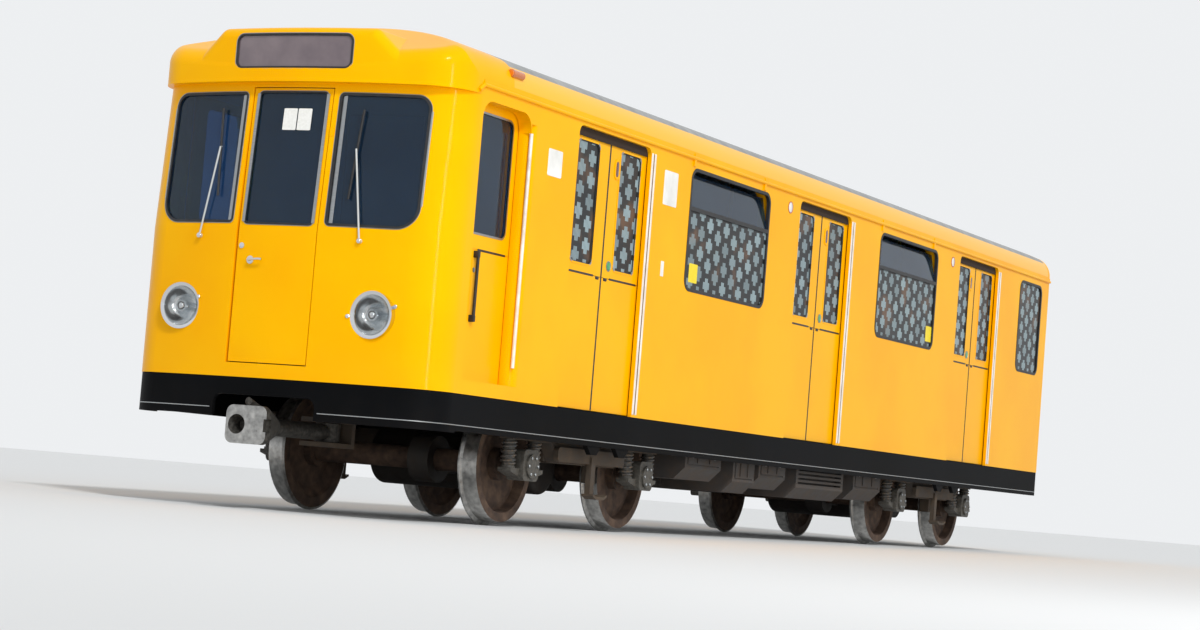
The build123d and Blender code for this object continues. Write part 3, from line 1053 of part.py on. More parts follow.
for step in range(BOLT_COUNT):
    turn = math.radians(360 / BOLT_COUNT * step)
    y = BOLT_CIRCLE / 2 * math.cos(turn)
    z = COUPLER_Z + BOLT_CIRCLE / 2 * math.sin(turn)
    short_coupler -= rod((reach - 25, y, z), (reach, y, z), BOLT_R)
save("coupler_rear", Rotation(0, 0, 180) * short_coupler)
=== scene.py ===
import bpy
import math
import numpy as np
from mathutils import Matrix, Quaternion, Vector


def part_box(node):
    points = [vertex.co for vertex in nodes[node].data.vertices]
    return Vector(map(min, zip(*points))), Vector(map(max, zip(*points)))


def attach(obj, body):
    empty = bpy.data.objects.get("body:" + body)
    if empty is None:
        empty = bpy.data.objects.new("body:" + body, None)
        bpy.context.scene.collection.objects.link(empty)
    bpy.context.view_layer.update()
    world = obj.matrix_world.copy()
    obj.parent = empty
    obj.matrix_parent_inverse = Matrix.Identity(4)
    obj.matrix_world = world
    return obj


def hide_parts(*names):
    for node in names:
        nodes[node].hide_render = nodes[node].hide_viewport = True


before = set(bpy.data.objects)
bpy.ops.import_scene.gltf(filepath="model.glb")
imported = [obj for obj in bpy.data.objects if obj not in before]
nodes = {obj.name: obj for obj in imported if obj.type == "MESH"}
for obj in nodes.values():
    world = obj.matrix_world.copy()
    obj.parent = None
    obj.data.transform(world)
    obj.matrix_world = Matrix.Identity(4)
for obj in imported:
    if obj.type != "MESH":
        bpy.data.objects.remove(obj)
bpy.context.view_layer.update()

# Underframe: welded steel sole bars, cross beams and bolsters, sprayed black, under a floor that is
# laid with studded sheet. Brown brake dust clings to the lower edges, and a pale drip strip runs
# round the foot of each sole bar and half of the apron, up to the opening for the coupler.
RAIL = 0.028
HALF = 1.150
REAR_X = -6.265
FRONT_X = 6.265
FLANK_END = 5.790
BOW_R = 4.016
CORNER_R = 0.300
CORNER_Y = HALF - CORNER_R
CORNER_REACH = math.sqrt((BOW_R - CORNER_R) ** 2 - CORNER_Y ** 2)
BEAM_HALF = 1.090
BEAM_TOP = RAIL + 0.880
FLOOR_TOP = RAIL + 0.889
STRIP_Z = RAIL + 0.602
STRIP_R = 0.003
STRIP_SUNK = 0.004
APRON_OPEN = 0.385
DUST = "8A7A5A"
BRAKE_DUST = "5A4A38"


def linear(hex_colour):
    """sRGB hex to linear: c / 12.92 up to 0.04045, above it ((c + 0.055) / 1.055) to the power 2.4."""
    channels = np.array([int(hex_colour[i:i + 2], 16) for i in (0, 2, 4)]) / 255
    curved = np.where(channels <= 0.04045, channels / 12.92, ((channels + 0.055) / 1.055) ** 2.4)
    return (*curved, 1.0)


def add(tree, kind, inputs=None, stops=(), **settings):
    """Adds a node and gives its outputs: inputs are values or links, stops are places and hex colours."""
    made = tree.nodes.new(f"ShaderNode{kind}")
    for name, value in settings.items():
        setattr(made, name, value)
    for key, value in (inputs or {}).items():
        if isinstance(value, bpy.types.NodeSocket):
            tree.links.new(value, made.inputs[key])
        else:
            made.inputs[key].default_value = value
    for number, (place, colour) in enumerate(stops):
        elements = made.color_ramp.elements
        element = elements[number] if number < 2 else elements.new(1.0)
        element.position = place
        element.color = linear(colour)
    return made.outputs


def material(name, **values):
    """An empty node material with its shader set from the values given, and the tree to build in."""
    made = bpy.data.materials.new(name)
    made.use_nodes = True
    tree = made.node_tree
    tree.nodes.clear()
    surface = add(tree, "BsdfPrincipled")["BSDF"]
    add(tree, "OutputMaterial", {"Surface": surface})
    shader = surface.node
    for key, value in values.items():
        shader.inputs[key.replace("_", " ").title().replace("Ior", "IOR")].default_value = value
    return made, tree, shader


def patterned(name, texture, sizes, stops=(), stretch=None, rough=None, bump=None, **values):
    """A material coloured along one pattern of a scale and detail, which may set roughness and relief."""
    made, tree, shader = material(name, **values)
    spot = add(tree, "TexCoord")["Object"]
    if stretch:
        spot = add(tree, "Mapping", {"Vector": spot, "Scale": stretch})["Vector"]
    sizes = dict(zip(("Scale", "Detail", "Distortion"), sizes))
    field = add(tree, f"Tex{texture}", {"Vector": spot, **sizes})
    value = field["Distance" if texture == "Voronoi" else "Fac"]
    if stops:
        tone = add(tree, "ValToRGB", {"Fac": value}, stops)
        tree.links.new(tone["Color"], shader.inputs["Base Color"])
    if rough:
        spread = add(tree, "MapRange", {"Value": value, "To Min": rough[0], "To Max": rough[1]})
        tree.links.new(spread["Result"], shader.inputs["Roughness"])
    if bump:
        relief = add(tree, "Bump", {"Height": value, "Strength": bump[0], "Distance": bump[1]})
        tree.links.new(relief["Normal"], shader.inputs["Normal"])
    return made


def sprayed(name, colour, deeper, roughness, coat=0.0, dust_top=0.5, dust_share=0.0, dust=DUST, **values):
    """Sprayed paint: a slow cloudiness, orange peel of about 8 mm, and dust that thins out upwards."""
    made, tree, shader = material(name, coat_weight=coat, coat_roughness=0.06, **values)
    spot = add(tree, "TexCoord")["Object"]
    height = add(tree, "SeparateXYZ", {"Vector": spot})["Z"]
    cloud = add(tree, "TexNoise", {"Vector": spot, "Scale": 1.1, "Detail": 4.0})["Fac"]
    tone = add(tree, "ValToRGB", {"Fac": cloud}, [(0.36, deeper), (0.6, colour)])["Color"]
    low = add(tree, "MapRange", {"Value": height, "From Min": 0.45, "From Max": dust_top,
                                 "To Min": dust_share, "To Max": 0.0})["Result"]
    grit = add(tree, "TexNoise", {"Vector": spot, "Scale": 9.0, "Detail": 8.0})["Fac"]
    share = add(tree, "Math", {0: low, 1: grit}, operation="MULTIPLY")[0]
    mixed = add(tree, "Mix", {6: tone, 7: linear(dust), 0: share}, data_type="RGBA")[2]
    tree.links.new(mixed, shader.inputs["Base Color"])
    rough = add(tree, "MapRange", {"Value": share, "From Max": 0.5, "To Min": roughness, "To Max": 0.8})
    tree.links.new(rough["Result"], shader.inputs["Roughness"])
    peel = add(tree, "TexNoise", {"Vector": spot, "Scale": 120.0, "Detail": 1.0})["Fac"]
    bump = add(tree, "Bump", {"Height": peel, "Strength": 0.05, "Distance": 0.001})
    tree.links.new(bump["Normal"], shader.inputs["Normal"])
    return made


def wear(names, made):
    """Puts one material on whole CAD nodes."""
    for name in names:
        nodes[name].data.materials.clear()
        nodes[name].data.materials.append(made)


def centres(node, what="center"):
    """Middles, or normals, of a CAD node's faces: all their x, then all their y, then all their z."""
    faces = nodes[node].data.polygons
    rows = np.empty(len(faces) * 3)
    faces.foreach_get(what, rows)
    return rows.reshape(-1, 3).T


def between(values, low, high):
    """Which of the values lie between the two limits."""
    return (values > low) & (values < high)


def wear_where(node, made, chosen):
    """Gives the chosen faces of a CAD node a further material; the mesh stays as it is."""
    mesh = nodes[node].data
    index = np.zeros(len(mesh.polygons), dtype=np.int32)
    mesh.polygons.foreach_get("material_index", index)
    index[chosen] = len(mesh.materials)
    mesh.materials.append(made)
    mesh.polygons.foreach_set("material_index", index)


def put(name, data):
    """A new object for a mesh, a lamp or the camera, linked into the scene."""
    made = bpy.data.objects.new(name, data)
    bpy.context.collection.objects.link(made)
    return made


def skin(name, parts, made, body="root", loop=False):
    """One piece from rings of points: quads join each ring to the next, and caps or a loop close it."""
    spots, faces, first = [], [], 0
    for rings in parts:
        count, around = rings.shape[:2]
        rows = np.arange(count if loop else count - 1)[:, None]
        here = rows * around + np.arange(around)
        there = (rows + 1) % count * around + np.arange(around)
        quads = np.stack([here, np.roll(here, -1, 1), np.roll(there, -1, 1), there], axis=-1)
        faces += (quads.reshape(-1, 4) + first).tolist()
        if not loop:
            faces.append((np.arange(around)[::-1] + first).tolist())
            faces.append((np.arange(around) + (count - 1) * around + first).tolist())
        spots.append(rings.reshape(-1, 3))
        first += count * around
    mesh = bpy.data.meshes.new(name)
    mesh.from_pydata(np.concatenate(spots).tolist(), [], faces)
    mesh.polygons.foreach_set("use_smooth", np.ones(len(faces), dtype=bool))
    mesh.set_sharp_from_angle(angle=math.radians(38))
    mesh.materials.append(made)
    piece = put(name, mesh)
    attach(piece, body)
    return piece


def tube(path, radius, sides=10, side=(0, 0, 1), loop=False):
    """Rings round a path: each point plus the radius turned in the plane across the path's run."""
    path = np.asarray(path, dtype=float)
    run = np.roll(path, -1, 0) - np.roll(path, 1, 0) if loop else np.gradient(path, axis=0)
    run /= np.linalg.norm(run, axis=1, keepdims=True)
    across = np.cross(np.asarray(side, dtype=float), run)
    across /= np.linalg.norm(across, axis=1, keepdims=True)
    other = np.cross(run, across)
    turn = np.linspace(0, 2 * math.pi, sides, endpoint=False)[None, :, None]
    return path[:, None] + radius * (np.cos(turn) * across[:, None] + np.sin(turn) * other[:, None])


def nose_plan(inset, height):
    """The nose in plan, left flank to right: corner arcs of 300 mm at both ends of a bow of 4.016 m."""
    bow_x = FRONT_X - BOW_R
    corner_x = bow_x + CORNER_REACH
    meet = math.atan2(CORNER_Y, corner_x - bow_x)
    corner = np.linspace(math.pi / 2, meet, 14)
    bow = np.linspace(meet, -meet, 40)[1:-1]
    radius = CORNER_R - inset
    left = np.column_stack([corner_x + radius * np.cos(corner), CORNER_Y + radius * np.sin(corner)])
    middle = np.column_stack([bow_x + (BOW_R - inset) * np.cos(bow), (BOW_R - inset) * np.sin(bow)])
    plan = np.concatenate([left, middle, left[::-1] * (1, -1)])
    return np.column_stack([plan, np.full(len(plan), height)])


# Two-pack paint, sprayed: a deep, even black with a soft shine, and brown dust only low down.
black = sprayed("two_pack_paint_black", "0D0F12", "090B0D", 0.5, dust_top=0.95, dust_share=0.06,
                dust=BRAKE_DUST, ior=1.1)
# Chassis paint that is never washed: a dead, brownish dark grey.
chassis = sprayed("chassis_paint_dusty", "2B2B2C", "232324", 0.5, dust_top=1.1, dust_share=1.1,
                  dust=BRAKE_DUST)
# Rubber sheet moulded with studs 25 mm apart: paler dots on a dull ground.
floor_sheet = patterned("studded_rubber_sheet", "Voronoi", (40.0,),
                        [(0.2, "5C6064"), (0.5, "45484B")], roughness=0.7)
# Anodised aluminium: a pale satin metal. Its grain is drawn at 3 mm, coarser than real, so that it shows.
pale_metal = patterned("anodised_aluminium", "Noise", (300.0, 2.0),
                       [(0.3, "A4A7A8"), (0.7, "BDC0C1")], metallic=1.0, roughness=0.38)
wear(["underframe", "front_apron"], black)
along, across, up = centres("underframe")
wear_where("underframe", chassis, (np.abs(across) < BEAM_HALF) & (up < BEAM_TOP))
wear_where("underframe", floor_sheet, up > FLOOR_TOP)
flank = np.array([[x, HALF - STRIP_SUNK, STRIP_Z] for x in (REAR_X + 0.002, FLANK_END)])
round_nose = nose_plan(STRIP_SUNK, STRIP_Z)
strip = np.concatenate([flank, round_nose[round_nose[:, 1] > APRON_OPEN]])
strips = [tube(strip, STRIP_R, 6), tube(strip * (1, -1, 1), STRIP_R, 6)]
skin("drip_strips", strips, pale_metal)

# Side walls and cantrails: aluminium sheet on drawn frames, filled and sprayed in gloss yellow, with
# laminate inside. Two pale rubber seals stand behind each doorway, with a brown strip of painted shade
# for the groove between them, and a brown-black band of painted shade fills the slot over the leaves.
PAINT_YELLOW = "FFBA00"
LINING_Y = 1.042
DOORWAYS = (3.870, -0.090, -4.050)
DOORWAY_HALF = 0.569
DOORWAY_FOOT = RAIL + 0.802
DOORWAY_TOP = RAIL + 2.700
SEAL_OFFSETS = (0.020, 0.066)
SEAL_WIDTH = 0.026
SEAL_HEIGHT = DOORWAY_TOP - DOORWAY_FOOT - 0.03
SEAL_MIDDLE = (DOORWAY_TOP + DOORWAY_FOOT) / 2
# Width of the brown strip of painted shade in the groove between the seals.
SHADE_STRIP_WIDTH = 0.022
# Size and place of the brown-black band of painted shade in each doorway's head.
HEAD_SHADE_LENGTH = 1.120
HEAD_SHADE_HEIGHT = 0.064
HEAD_SHADE_Y = 1.1185
HEAD_SHADE_Z = RAIL + 2.684


def placed(local, centre, out, up=(0, 0, 1)):
    """Local x, y and height carried to a centre: x along up cross out, y along up, height along out."""
    out = np.asarray(out, dtype=float)
    up = np.asarray(up, dtype=float)
    turned = np.stack([np.cross(up, out), up, out])
    return local @ turned + np.asarray(centre)


def rounded(width, height, radius, steps=7):
    """Outline of a rounded rectangle: each corner's centre plus its radius turned through a quarter."""
    quarter = np.linspace(0, math.pi / 2, steps)[None, :] + np.arange(4)[:, None] * math.pi / 2
    radius = np.broadcast_to(np.asarray(radius, dtype=float), (4,))[:, None]
    x = (width / 2 - radius) * np.array([[1], [-1], [-1], [1]]) + radius * np.cos(quarter)
    y = (height / 2 - radius) * np.array([[1], [1], [-1], [-1]]) + radius * np.sin(quarter)
    return np.column_stack([x.ravel(), y.ravel()])


def plate(width, height, radius, layers, centre, out, steps=7, up=(0, 0, 1)):
    """Rounded-rectangle rings, each drawn in by its inset and lifted by its height."""
    rings = []
    for inset, lift in layers:
        flat = rounded(width - 2 * inset, height - 2 * inset, max(radius - inset, 0.0004), steps)
        rings.append(np.column_stack([flat, np.full(len(flat), lift)]))
    return placed(np.array(rings), centre, out, up)


# Two-pack gloss over filler: a full warm yellow, barely clouded, with a glint on every edge.
yellow = sprayed("two_pack_gloss_paint_yellow", PAINT_YELLOW, "FDB200", 0.30, coat=0.08, dust_top=1.1,
                 dust_share=0.08, ior=1.17, specular_tint=linear("FFC21A"))
# Melamine laminate, pressed: a flat cream with no grain.
laminate = sprayed("melamine_laminate_cream", "D8D3C2", "CFCAB8", 0.45)
# Extruded rubber that has taken up grime: a chalky off-white with soft darker clouds.
seal_grey = patterned("extruded_rubber_grey", "Noise", (6.0, 6.0),
                      [(0.3, "D8D0C4"), (0.65, "F2EDE4")], roughness=0.55)
# Painted shade of the groove between the two seals: a matt, uneven brown line.
groove_shade = patterned("painted_groove_shade_brown", "Noise", (14.0, 5.0),
                    [(0.3, "6E4526"), (0.7, "8F6038")], roughness=0.7)
# Painted shade in the deep head of each doorway: a dull brown-black band with faint upright bars, drawn 15
# mm wide so that they show.
head_shade = patterned("painted_doorway_head_shade", "Wave", (22.0, 2.0, 1.5),
                    [(0.2, "170F09"), (0.8, "3A2717")], roughness=0.9)
wear(["side_wall_left", "side_wall_right", "cantrails", "rear_end", "cab_front", "front_dome"], yellow)
for node in ("side_wall_left", "side_wall_right", "cantrails"):
    wear_where(node, laminate, np.abs(centres(node)[1]) < LINING_Y)
seals, shade_strips, head_shades = [], [], []
bulged = [(0, 0), (0, 0.002), (0.005, 0.006), (0.009, 0.007)]
for side in (1, -1):
    out = (0, side, 0)
    for x in DOORWAYS:
        edge = x - DOORWAY_HALF
        for offset in SEAL_OFFSETS:
            at = (edge - offset, side * HALF, SEAL_MIDDLE)
            seals.append(plate(SEAL_WIDTH, SEAL_HEIGHT, 0.006, bulged, at, out, 3))
        # A brown strip of painted shade for the groove between the two seals.
        at = (edge - sum(SEAL_OFFSETS) / 2, side * HALF, SEAL_MIDDLE)
        shade_strips.append(plate(SHADE_STRIP_WIDTH, SEAL_HEIGHT - 0.01, 0.002, [(0, 0), (0, 0.0015)], at, out, 3))
        # A brown-black band of painted shade in the head of each doorway, above the leaves.
        at = (x, side * HEAD_SHADE_Y, HEAD_SHADE_Z)
        head_shades.append(plate(HEAD_SHADE_LENGTH, HEAD_SHADE_HEIGHT, 0.002, [(0, 0), (0, 0.003)], at, out, 3))
skin("doorway_head_shades", head_shades, head_shade)
skin("doorway_seals", seals, seal_grey)
skin("doorway_groove_shade", shade_strips, groove_shade)

# Roof: a welded aluminium shell with six louvred hoods, yellow round the shoulder and grey above,
# where soot and rain have streaked it. The gutters are yellow beads on small brackets.
SHOULDER_Z = RAIL + 2.935
ROOF_MIDDLE = 2.0
LOUVRE_Y = 0.24
LOUVRE_FOOT = RAIL + 3.182
LOUVRE_HEAD = RAIL + 3.197
# Roof paint, weathered: yellow to the shoulder, then a chalky grey with soot drawn out in streaks.
roof_paint, tree, shader = material("roof_paint_weathered", coat_weight=0.15)
spot = add(tree, "TexCoord")["Object"]
height = add(tree, "SeparateXYZ", {"Vector": spot})["Z"]
stretch = add(tree, "Mapping", {"Vector": spot, "Scale": (7.0, 1.6, 1.6)})["Vector"]
soot = add(tree, "TexNoise", {"Vector": stretch, "Scale": 1.5, "Detail": 8.0})["Fac"]
grey = add(tree, "ValToRGB", {"Fac": soot}, [(0.25, "7C7E7D"), (0.5, "8E908F"), (0.75, "A0A2A0")])
above = add(tree, "MapRange", {"Value": height, "From Min": SHOULDER_Z, "From Max": SHOULDER_Z + 0.004})[0]
mixed = add(tree, "Mix", {6: linear(PAINT_YELLOW), 7: grey["Color"], 0: above}, data_type="RGBA")[2]
tree.links.new(mixed, shader.inputs["Base Color"])
rough = add(tree, "MapRange", {"Value": above, "To Min": 0.3, "To Max": 0.65})["Result"]
tree.links.new(rough, shader.inputs["Roughness"])
# Painted shade for the unlit inside of a slot and of the belt groove: nearly black, with no shine.
shade = patterned("painted_shade_black", "Noise", (30.0, 3.0),
                  [(0.35, "080809"), (0.7, "131314")], roughness=0.9)
wear(["roof", "roof_vents"], roof_paint)
wear(["gutters"], yellow)
along, across, up = centres("roof")
ways = centres("roof", "normal")
wear_where("roof", laminate, ways[1] * across + ways[2] * (up - ROOF_MIDDLE) < -0.01)
along, across, up = centres("roof_vents")
# The faces inside the louvre slots are painted near black as shade.
wear_where("roof_vents", shade, (np.abs(across) > LOUVRE_Y) & between(up, LOUVRE_FOOT, LOUVRE_HEAD))

# Fixed windows: toughened panes in black rubber, with a hinged vent light of clear tinted glass above.
# Inside the lower glass a printed film shows pale hatched crosses, every other column half a row down.
PITCH = 0.150
CROSS_ARM = 0.056
CROSS_HALF = 0.026
VENT_FOOT = RAIL + 2.385
VENT_REACH = 3.0
END_GLASS_Y = 1.06
SIDE_GLASS_X = (-6.2, 6.0)
# Moulded rubber: a near black that blooms to grey in patches, with a low sheen.
rubber = patterned("moulded_rubber_black", "Noise", (30.0, 4.0),
                   [(0.35, "131415"), (0.7, "242527")], roughness=0.5)
# Printed film behind glass: pale crosses of 112 mm on a dark ground, each cross faded by its own share,
# their hatching drawn 18 mm apart so that it shows. The dark ground is painted shade of the unlit inside,
# and its warm patches are painted light that comes through.
film, tree, shader = material("printed_film_behind_glass", roughness=0.45, coat_weight=0.25,
                              coat_roughness=0.02, ior=1.3)
spot = add(tree, "TexCoord")["Object"]
scaled = add(tree, "VectorMath", {0: spot, "Scale": 1 / PITCH}, operation="SCALE")[0]
axes = add(tree, "SeparateXYZ", {"Vector": scaled})
column = add(tree, "Math", {0: axes["X"]}, operation="FLOOR")[0]
odd = add(tree, "Math", {0: column, 1: 2.0}, operation="MODULO")[0]
row = add(tree, "Math", {0: odd, 1: 0.5, 2: axes["Z"]}, operation="MULTIPLY_ADD")[0]
shifted = add(tree, "CombineXYZ", {"X": axes["X"], "Z": row})[0]
part = add(tree, "VectorMath", {0: shifted}, operation="FRACTION")[0]
middle = add(tree, "VectorMath", {0: part, 1: (0.5, 0.5, 0.5)}, operation="SUBTRACT")[0]
folded = add(tree, "VectorMath", {0: middle}, operation="ABSOLUTE")[0]
arms = add(tree, "SeparateXYZ", {"Vector": folded})
longer = add(tree, "Math", {0: arms["X"], 1: arms["Z"]}, operation="MAXIMUM")[0]
shorter = add(tree, "Math", {0: arms["X"], 1: arms["Z"]}, operation="MINIMUM")[0]
in_arm = add(tree, "Math", {0: longer, 1: CROSS_ARM / PITCH}, operation="LESS_THAN")[0]
in_width = add(tree, "Math", {0: shorter, 1: CROSS_HALF / PITCH}, operation="LESS_THAN")[0]
cross = add(tree, "Math", {0: in_arm, 1: in_width}, operation="MULTIPLY")[0]
cell = add(tree, "VectorMath", {0: shifted}, operation="FLOOR")[0]
luck = add(tree, "TexWhiteNoise", {"Vector": cell}, noise_dimensions="3D")["Value"]
worn = add(tree, "MapRange", {"Value": luck, "To Min": 0.55, "To Max": 1.0})["Result"]
cross = add(tree, "Math", {0: cross, 1: worn}, operation="MULTIPLY")[0]
hatch = add(tree, "TexWave", {"Vector": spot, "Scale": 17.0, "Distortion": 0.0})["Fac"]
pale = add(tree, "ValToRGB", {"Fac": hatch}, [(0.25, "62777E"), (0.6, "A3B7BC")])["Color"]
fade = add(tree, "TexNoise", {"Vector": spot, "Scale": 2.6, "Detail": 3.0})["Fac"]
# The dark ground is painted shade of the unlit inside, with warm patches of painted light.
ground = add(tree, "ValToRGB", {"Fac": fade}, [(0.45, "0D1114"), (0.55, "1C1A18"), (0.66, "5E4129")])[0]
mixed = add(tree, "Mix", {6: ground, 7: pale, 0: cross}, data_type="RGBA")[2]
tree.links.new(mixed, shader.inputs["Base Color"])
# Laminated glass with a blue tint: dark by day, with the sky's light lying on it.
tinted = patterned("laminated_glass_tinted", "Noise", (1.5,), [(0.3, "456C92"), (0.7, "527A9F")],
                   roughness=0.02, transmission_weight=0.93, ior=1.36)
wear(["window_frames"], rubber)
wear(["window_glass"], film)
along, across, up = centres("window_glass")
at_end = (np.abs(across) < END_GLASS_Y) & ~between(along, *SIDE_GLASS_X)
vent = (up > VENT_FOOT) & (np.abs(along) < VENT_REACH)
wear_where("window_glass", tinted, at_end | vent)

# Sliding leaves: pressed aluminium doors in the body colour, each with a film-backed pane in a raised
# rim with a grey metal reveal, a rubber belt strip, and a black bead down its meeting edge. One leaf of
# each pair has a green push button and, above it, a small red lamp in a yellow housing.
LEAF_FACE = 1.110
BEAD_R = 0.0055
BEAD_IN = 0.0045
GASKET = (0.321, 0.826, 0.048)
GASKET_R = 0.0045
GASKET_Y = 1.1035
BUTTON_X = 0.100
BUTTON_Z = RAIL + 1.820
LAMP_X = 0.118
LAMP_Z = RAIL + 2.500
LAMP_SIZE = (0.084, 0.146, 0.0415)
BELT_Z = RAIL + 1.732
BELT = (0.430, 0.014, 0.004)
BELT_X = 0.340
BUFFER = (0.055, 0.022, 0.009)
BUFFER_X = 0.062
BELT_LAYERS = [(0, 0), (0, 0.0015), (0.002, 0.003)]
PANE_MIDDLE = 0.3295
PANE_Z = RAIL + 2.215
HOLE_X = (0.1655, 0.4935)
HOLE_Z = (RAIL + 1.7985, RAIL + 2.6315)
PANE_DEPTH = (1.0955, 1.1025)
GROOVE_Z = (RAIL + 1.7299, RAIL + 1.7341)
GROOVE_DEPTH = (1.1055, 1.1099)


def lathe(profile, centre, out, up=(0, 0, 1), sides=24):
    """A turned form: each (height, radius) of the profile becomes a circle across the out direction."""
    turn = np.linspace(0, 2 * math.pi, sides, endpoint=False)
    rings = [np.column_stack([r * np.cos(turn), r * np.sin(turn), np.full(sides, h)]) for h, r in profile]
    return placed(np.array(rings), centre, out, up)


# Brushed aluminium: a cool grey metal with fine level lines, drawn just over a millimetre high.
steel_rim = patterned("brushed_aluminium_rim", "Noise", (2.0, 2.0),
                      [(0.3, "8E9193"), (0.7, "AEB1B2")], (8.0, 8.0, 400.0), metallic=1.0, roughness=0.32)
# Acrylic, moulded with small prisms of 4 to 6 mm: clear colour under a wet shine.
green_lens = patterned("moulded_acrylic_green", "Voronoi", (160.0,),
                       [(0.1, "25A956"), (0.7, "178640")], roughness=0.2, coat_weight=0.8)
red_lens = patterned("moulded_acrylic_red", "Voronoi", (220.0,),
                     [(0.1, "8E1814"), (0.6, "3A0A0A")], roughness=0.15, coat_weight=0.9)
collar = [(0, 0.037), (0.003, 0.037), (0.005, 0.034), (0.005, 0.031), (0.003, 0.030), (0.003, 0.001)]
cap = [(0.003, 0.029), (0.005, 0.028), (0.0064, 0.022), (0.0068, 0.002)]
rim = [(0, 0), (0, 0.004), (0.003, 0.0066), (0.016, 0.0066), (0.019, 0.003), (0.022, 0.003)]
glow = [(0.019, 0.002), (0.0195, 0.0045), (0.024, 0.006), (0.034, 0.0067)]
for side_name, side in (("left", 1), ("right", -1)):
    out = (0, side, 0)
    for number, x in enumerate(DOORWAYS, 1):
        for end, way in (("front", 1), ("rear", -1)):
            node = f"leaf_{side_name}_{number}_{end}"
            wear([node], yellow)
            along, across, up = centres(node)
            depth = np.abs(across)
            in_hole = between((along - x) * way, *HOLE_X) & between(up, *HOLE_Z)
            pane = in_hole & between(depth, *PANE_DEPTH)
            wear_where(node, film, pane)
            wear_where(node, steel_rim, in_hole & ~pane)
            # The belt groove on each leaf is painted near black as shade.
            wear_where(node, shade, between(up, *GROOVE_Z) & between(depth, *GROOVE_DEPTH))
            low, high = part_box(node)
            edge = (low[0] if way > 0 else high[0]) + way * BEAD_IN
            heights = np.linspace(low[2] + 0.002, high[2] - 0.04, 3)
            line = np.array([[edge, side * (LEAF_FACE - 0.004), z] for z in heights])
            skin(f"{node}_bead", [tube(line, BEAD_R, 10, (1, 0, 0))], rubber, node)
            outline = rounded(*GASKET, 9)
            outline = np.column_stack([outline, np.zeros(len(outline))])
            path = placed(outline, (x + way * PANE_MIDDLE, side * GASKET_Y, PANE_Z), out)
            skin(f"{node}_gasket", [tube(path, GASKET_R, 8, out, True)], rubber, node, True)
            strip = plate(*BELT, BELT_LAYERS, (x + way * BELT_X, side * LEAF_FACE, BELT_Z), out, 3)
            at = (x + way * BUFFER_X, side * LEAF_FACE, BELT_Z - 0.01)
            buffer = plate(*BUFFER, BELT_LAYERS, at, out)
            skin(f"{node}_belt_strip", [strip, buffer], rubber, node)
            if (end == "front") == (number < 3):
                continue
            at = (x + way * BUTTON_X, side * LEAF_FACE, BUTTON_Z)
            skin(f"{node}_collar", [lathe(collar, at, out)], steel_rim, node)
            skin(f"{node}_button", [lathe(cap, at, out)], green_lens, node)
            at = (x + way * LAMP_X, side * LEAF_FACE, LAMP_Z)
            skin(f"{node}_lamp_rim", [plate(*LAMP_SIZE, rim, at, out)], yellow, node)
            skin(f"{node}_lamp", [plate(*LAMP_SIZE, glow, at, out)], red_lens, node)

# Cab side doors: flush steel doors deep in a rolled recess, with a grey metal window frame, a rubber
# belt strip, a dark pull bar between two square feet, and a small lock. A white enamelled rail stands
# behind each recess.
CAB_FACE = 1.050
CAB_HOLE_X = (5.1895, 5.6705)
CAB_HOLE_Z = (RAIL + 1.8395, RAIL + 2.6005)
CAB_PANE_DEPTH = (1.0355, 1.0425)
CAB_BELT = (0.372, 0.014, 0.004)
CAB_BELT_X = 5.345
BAR_X = 5.560
BAR_HEAD = RAIL + 1.700
BAR_FOOT = RAIL + 1.290
BAR_OUT = 0.026
BAR_R = 0.011
LOCK_Z = RAIL + 1.600
RAIL_POLE_Y = 1.050
# Stoved enamel, rubbed by hands: a warm white with buff scuffs and a soft shine.
white_enamel = patterned("stoved_enamel_white", "Noise", (11.0, 5.0),
                         [(0.3, "D9CFC2"), (0.6, "F4F0E8")], roughness=0.3, coat_weight=0.4)
# Powder coat, baked: an even yellow with a faint peel.
pole_steel = sprayed("powder_coat_yellow", "F2B200", "E8A900", 0.4, coat=0.2)
wear(["grab_poles"], pole_steel)
wear_where("grab_poles", white_enamel, np.abs(centres("grab_poles")[1]) > RAIL_POLE_Y)
foot = [(0, 0), (0, 0.028), (0.003, 0.034), (0.010, 0.036)]
lock = [(0, 0.016), (0.003, 0.016), (0.005, 0.013), (0.005, 0.006), (0.003, 0.005), (0.003, 0.001)]
for side_name, side in (("left", 1), ("right", -1)):
    node = f"cab_door_{side_name}"
    out = (0, side, 0)
    wear([node], yellow)
    along, across, up = centres(node)
    depth = np.abs(across)
    in_hole = between(along, *CAB_HOLE_X) & between(up, *CAB_HOLE_Z)
    pane = in_hole & between(depth, *CAB_PANE_DEPTH)
    wear_where(node, tinted, pane)
    wear_where(node, rubber, in_hole & ~pane)
    wear_where(node, steel_rim, depth > CAB_FACE + 0.0002)
    parts = [plate(0.034, 0.044, 0.006, foot, (BAR_X, side * CAB_FACE, z), out, 3)
             for z in (BAR_HEAD, BAR_FOOT)]
    bar = np.array([[BAR_X, side * (CAB_FACE + BAR_OUT), z] for z in np.linspace(BAR_FOOT, BAR_HEAD, 5)])
    parts.append(tube(bar, BAR_R, 12, (1, 0, 0)))
    skin(f"{node}_pull_bar", parts, rubber, node)
    strip = plate(*CAB_BELT, BELT_LAYERS, (CAB_BELT_X, side * CAB_FACE, BELT_Z), out, 3)
    skin(f"{node}_belt_strip", [strip], rubber, node)
    at = (BAR_X, side * CAB_FACE, LOCK_Z)
    skin(f"{node}_lock", [lathe(lock, at, out)], steel_rim, node)

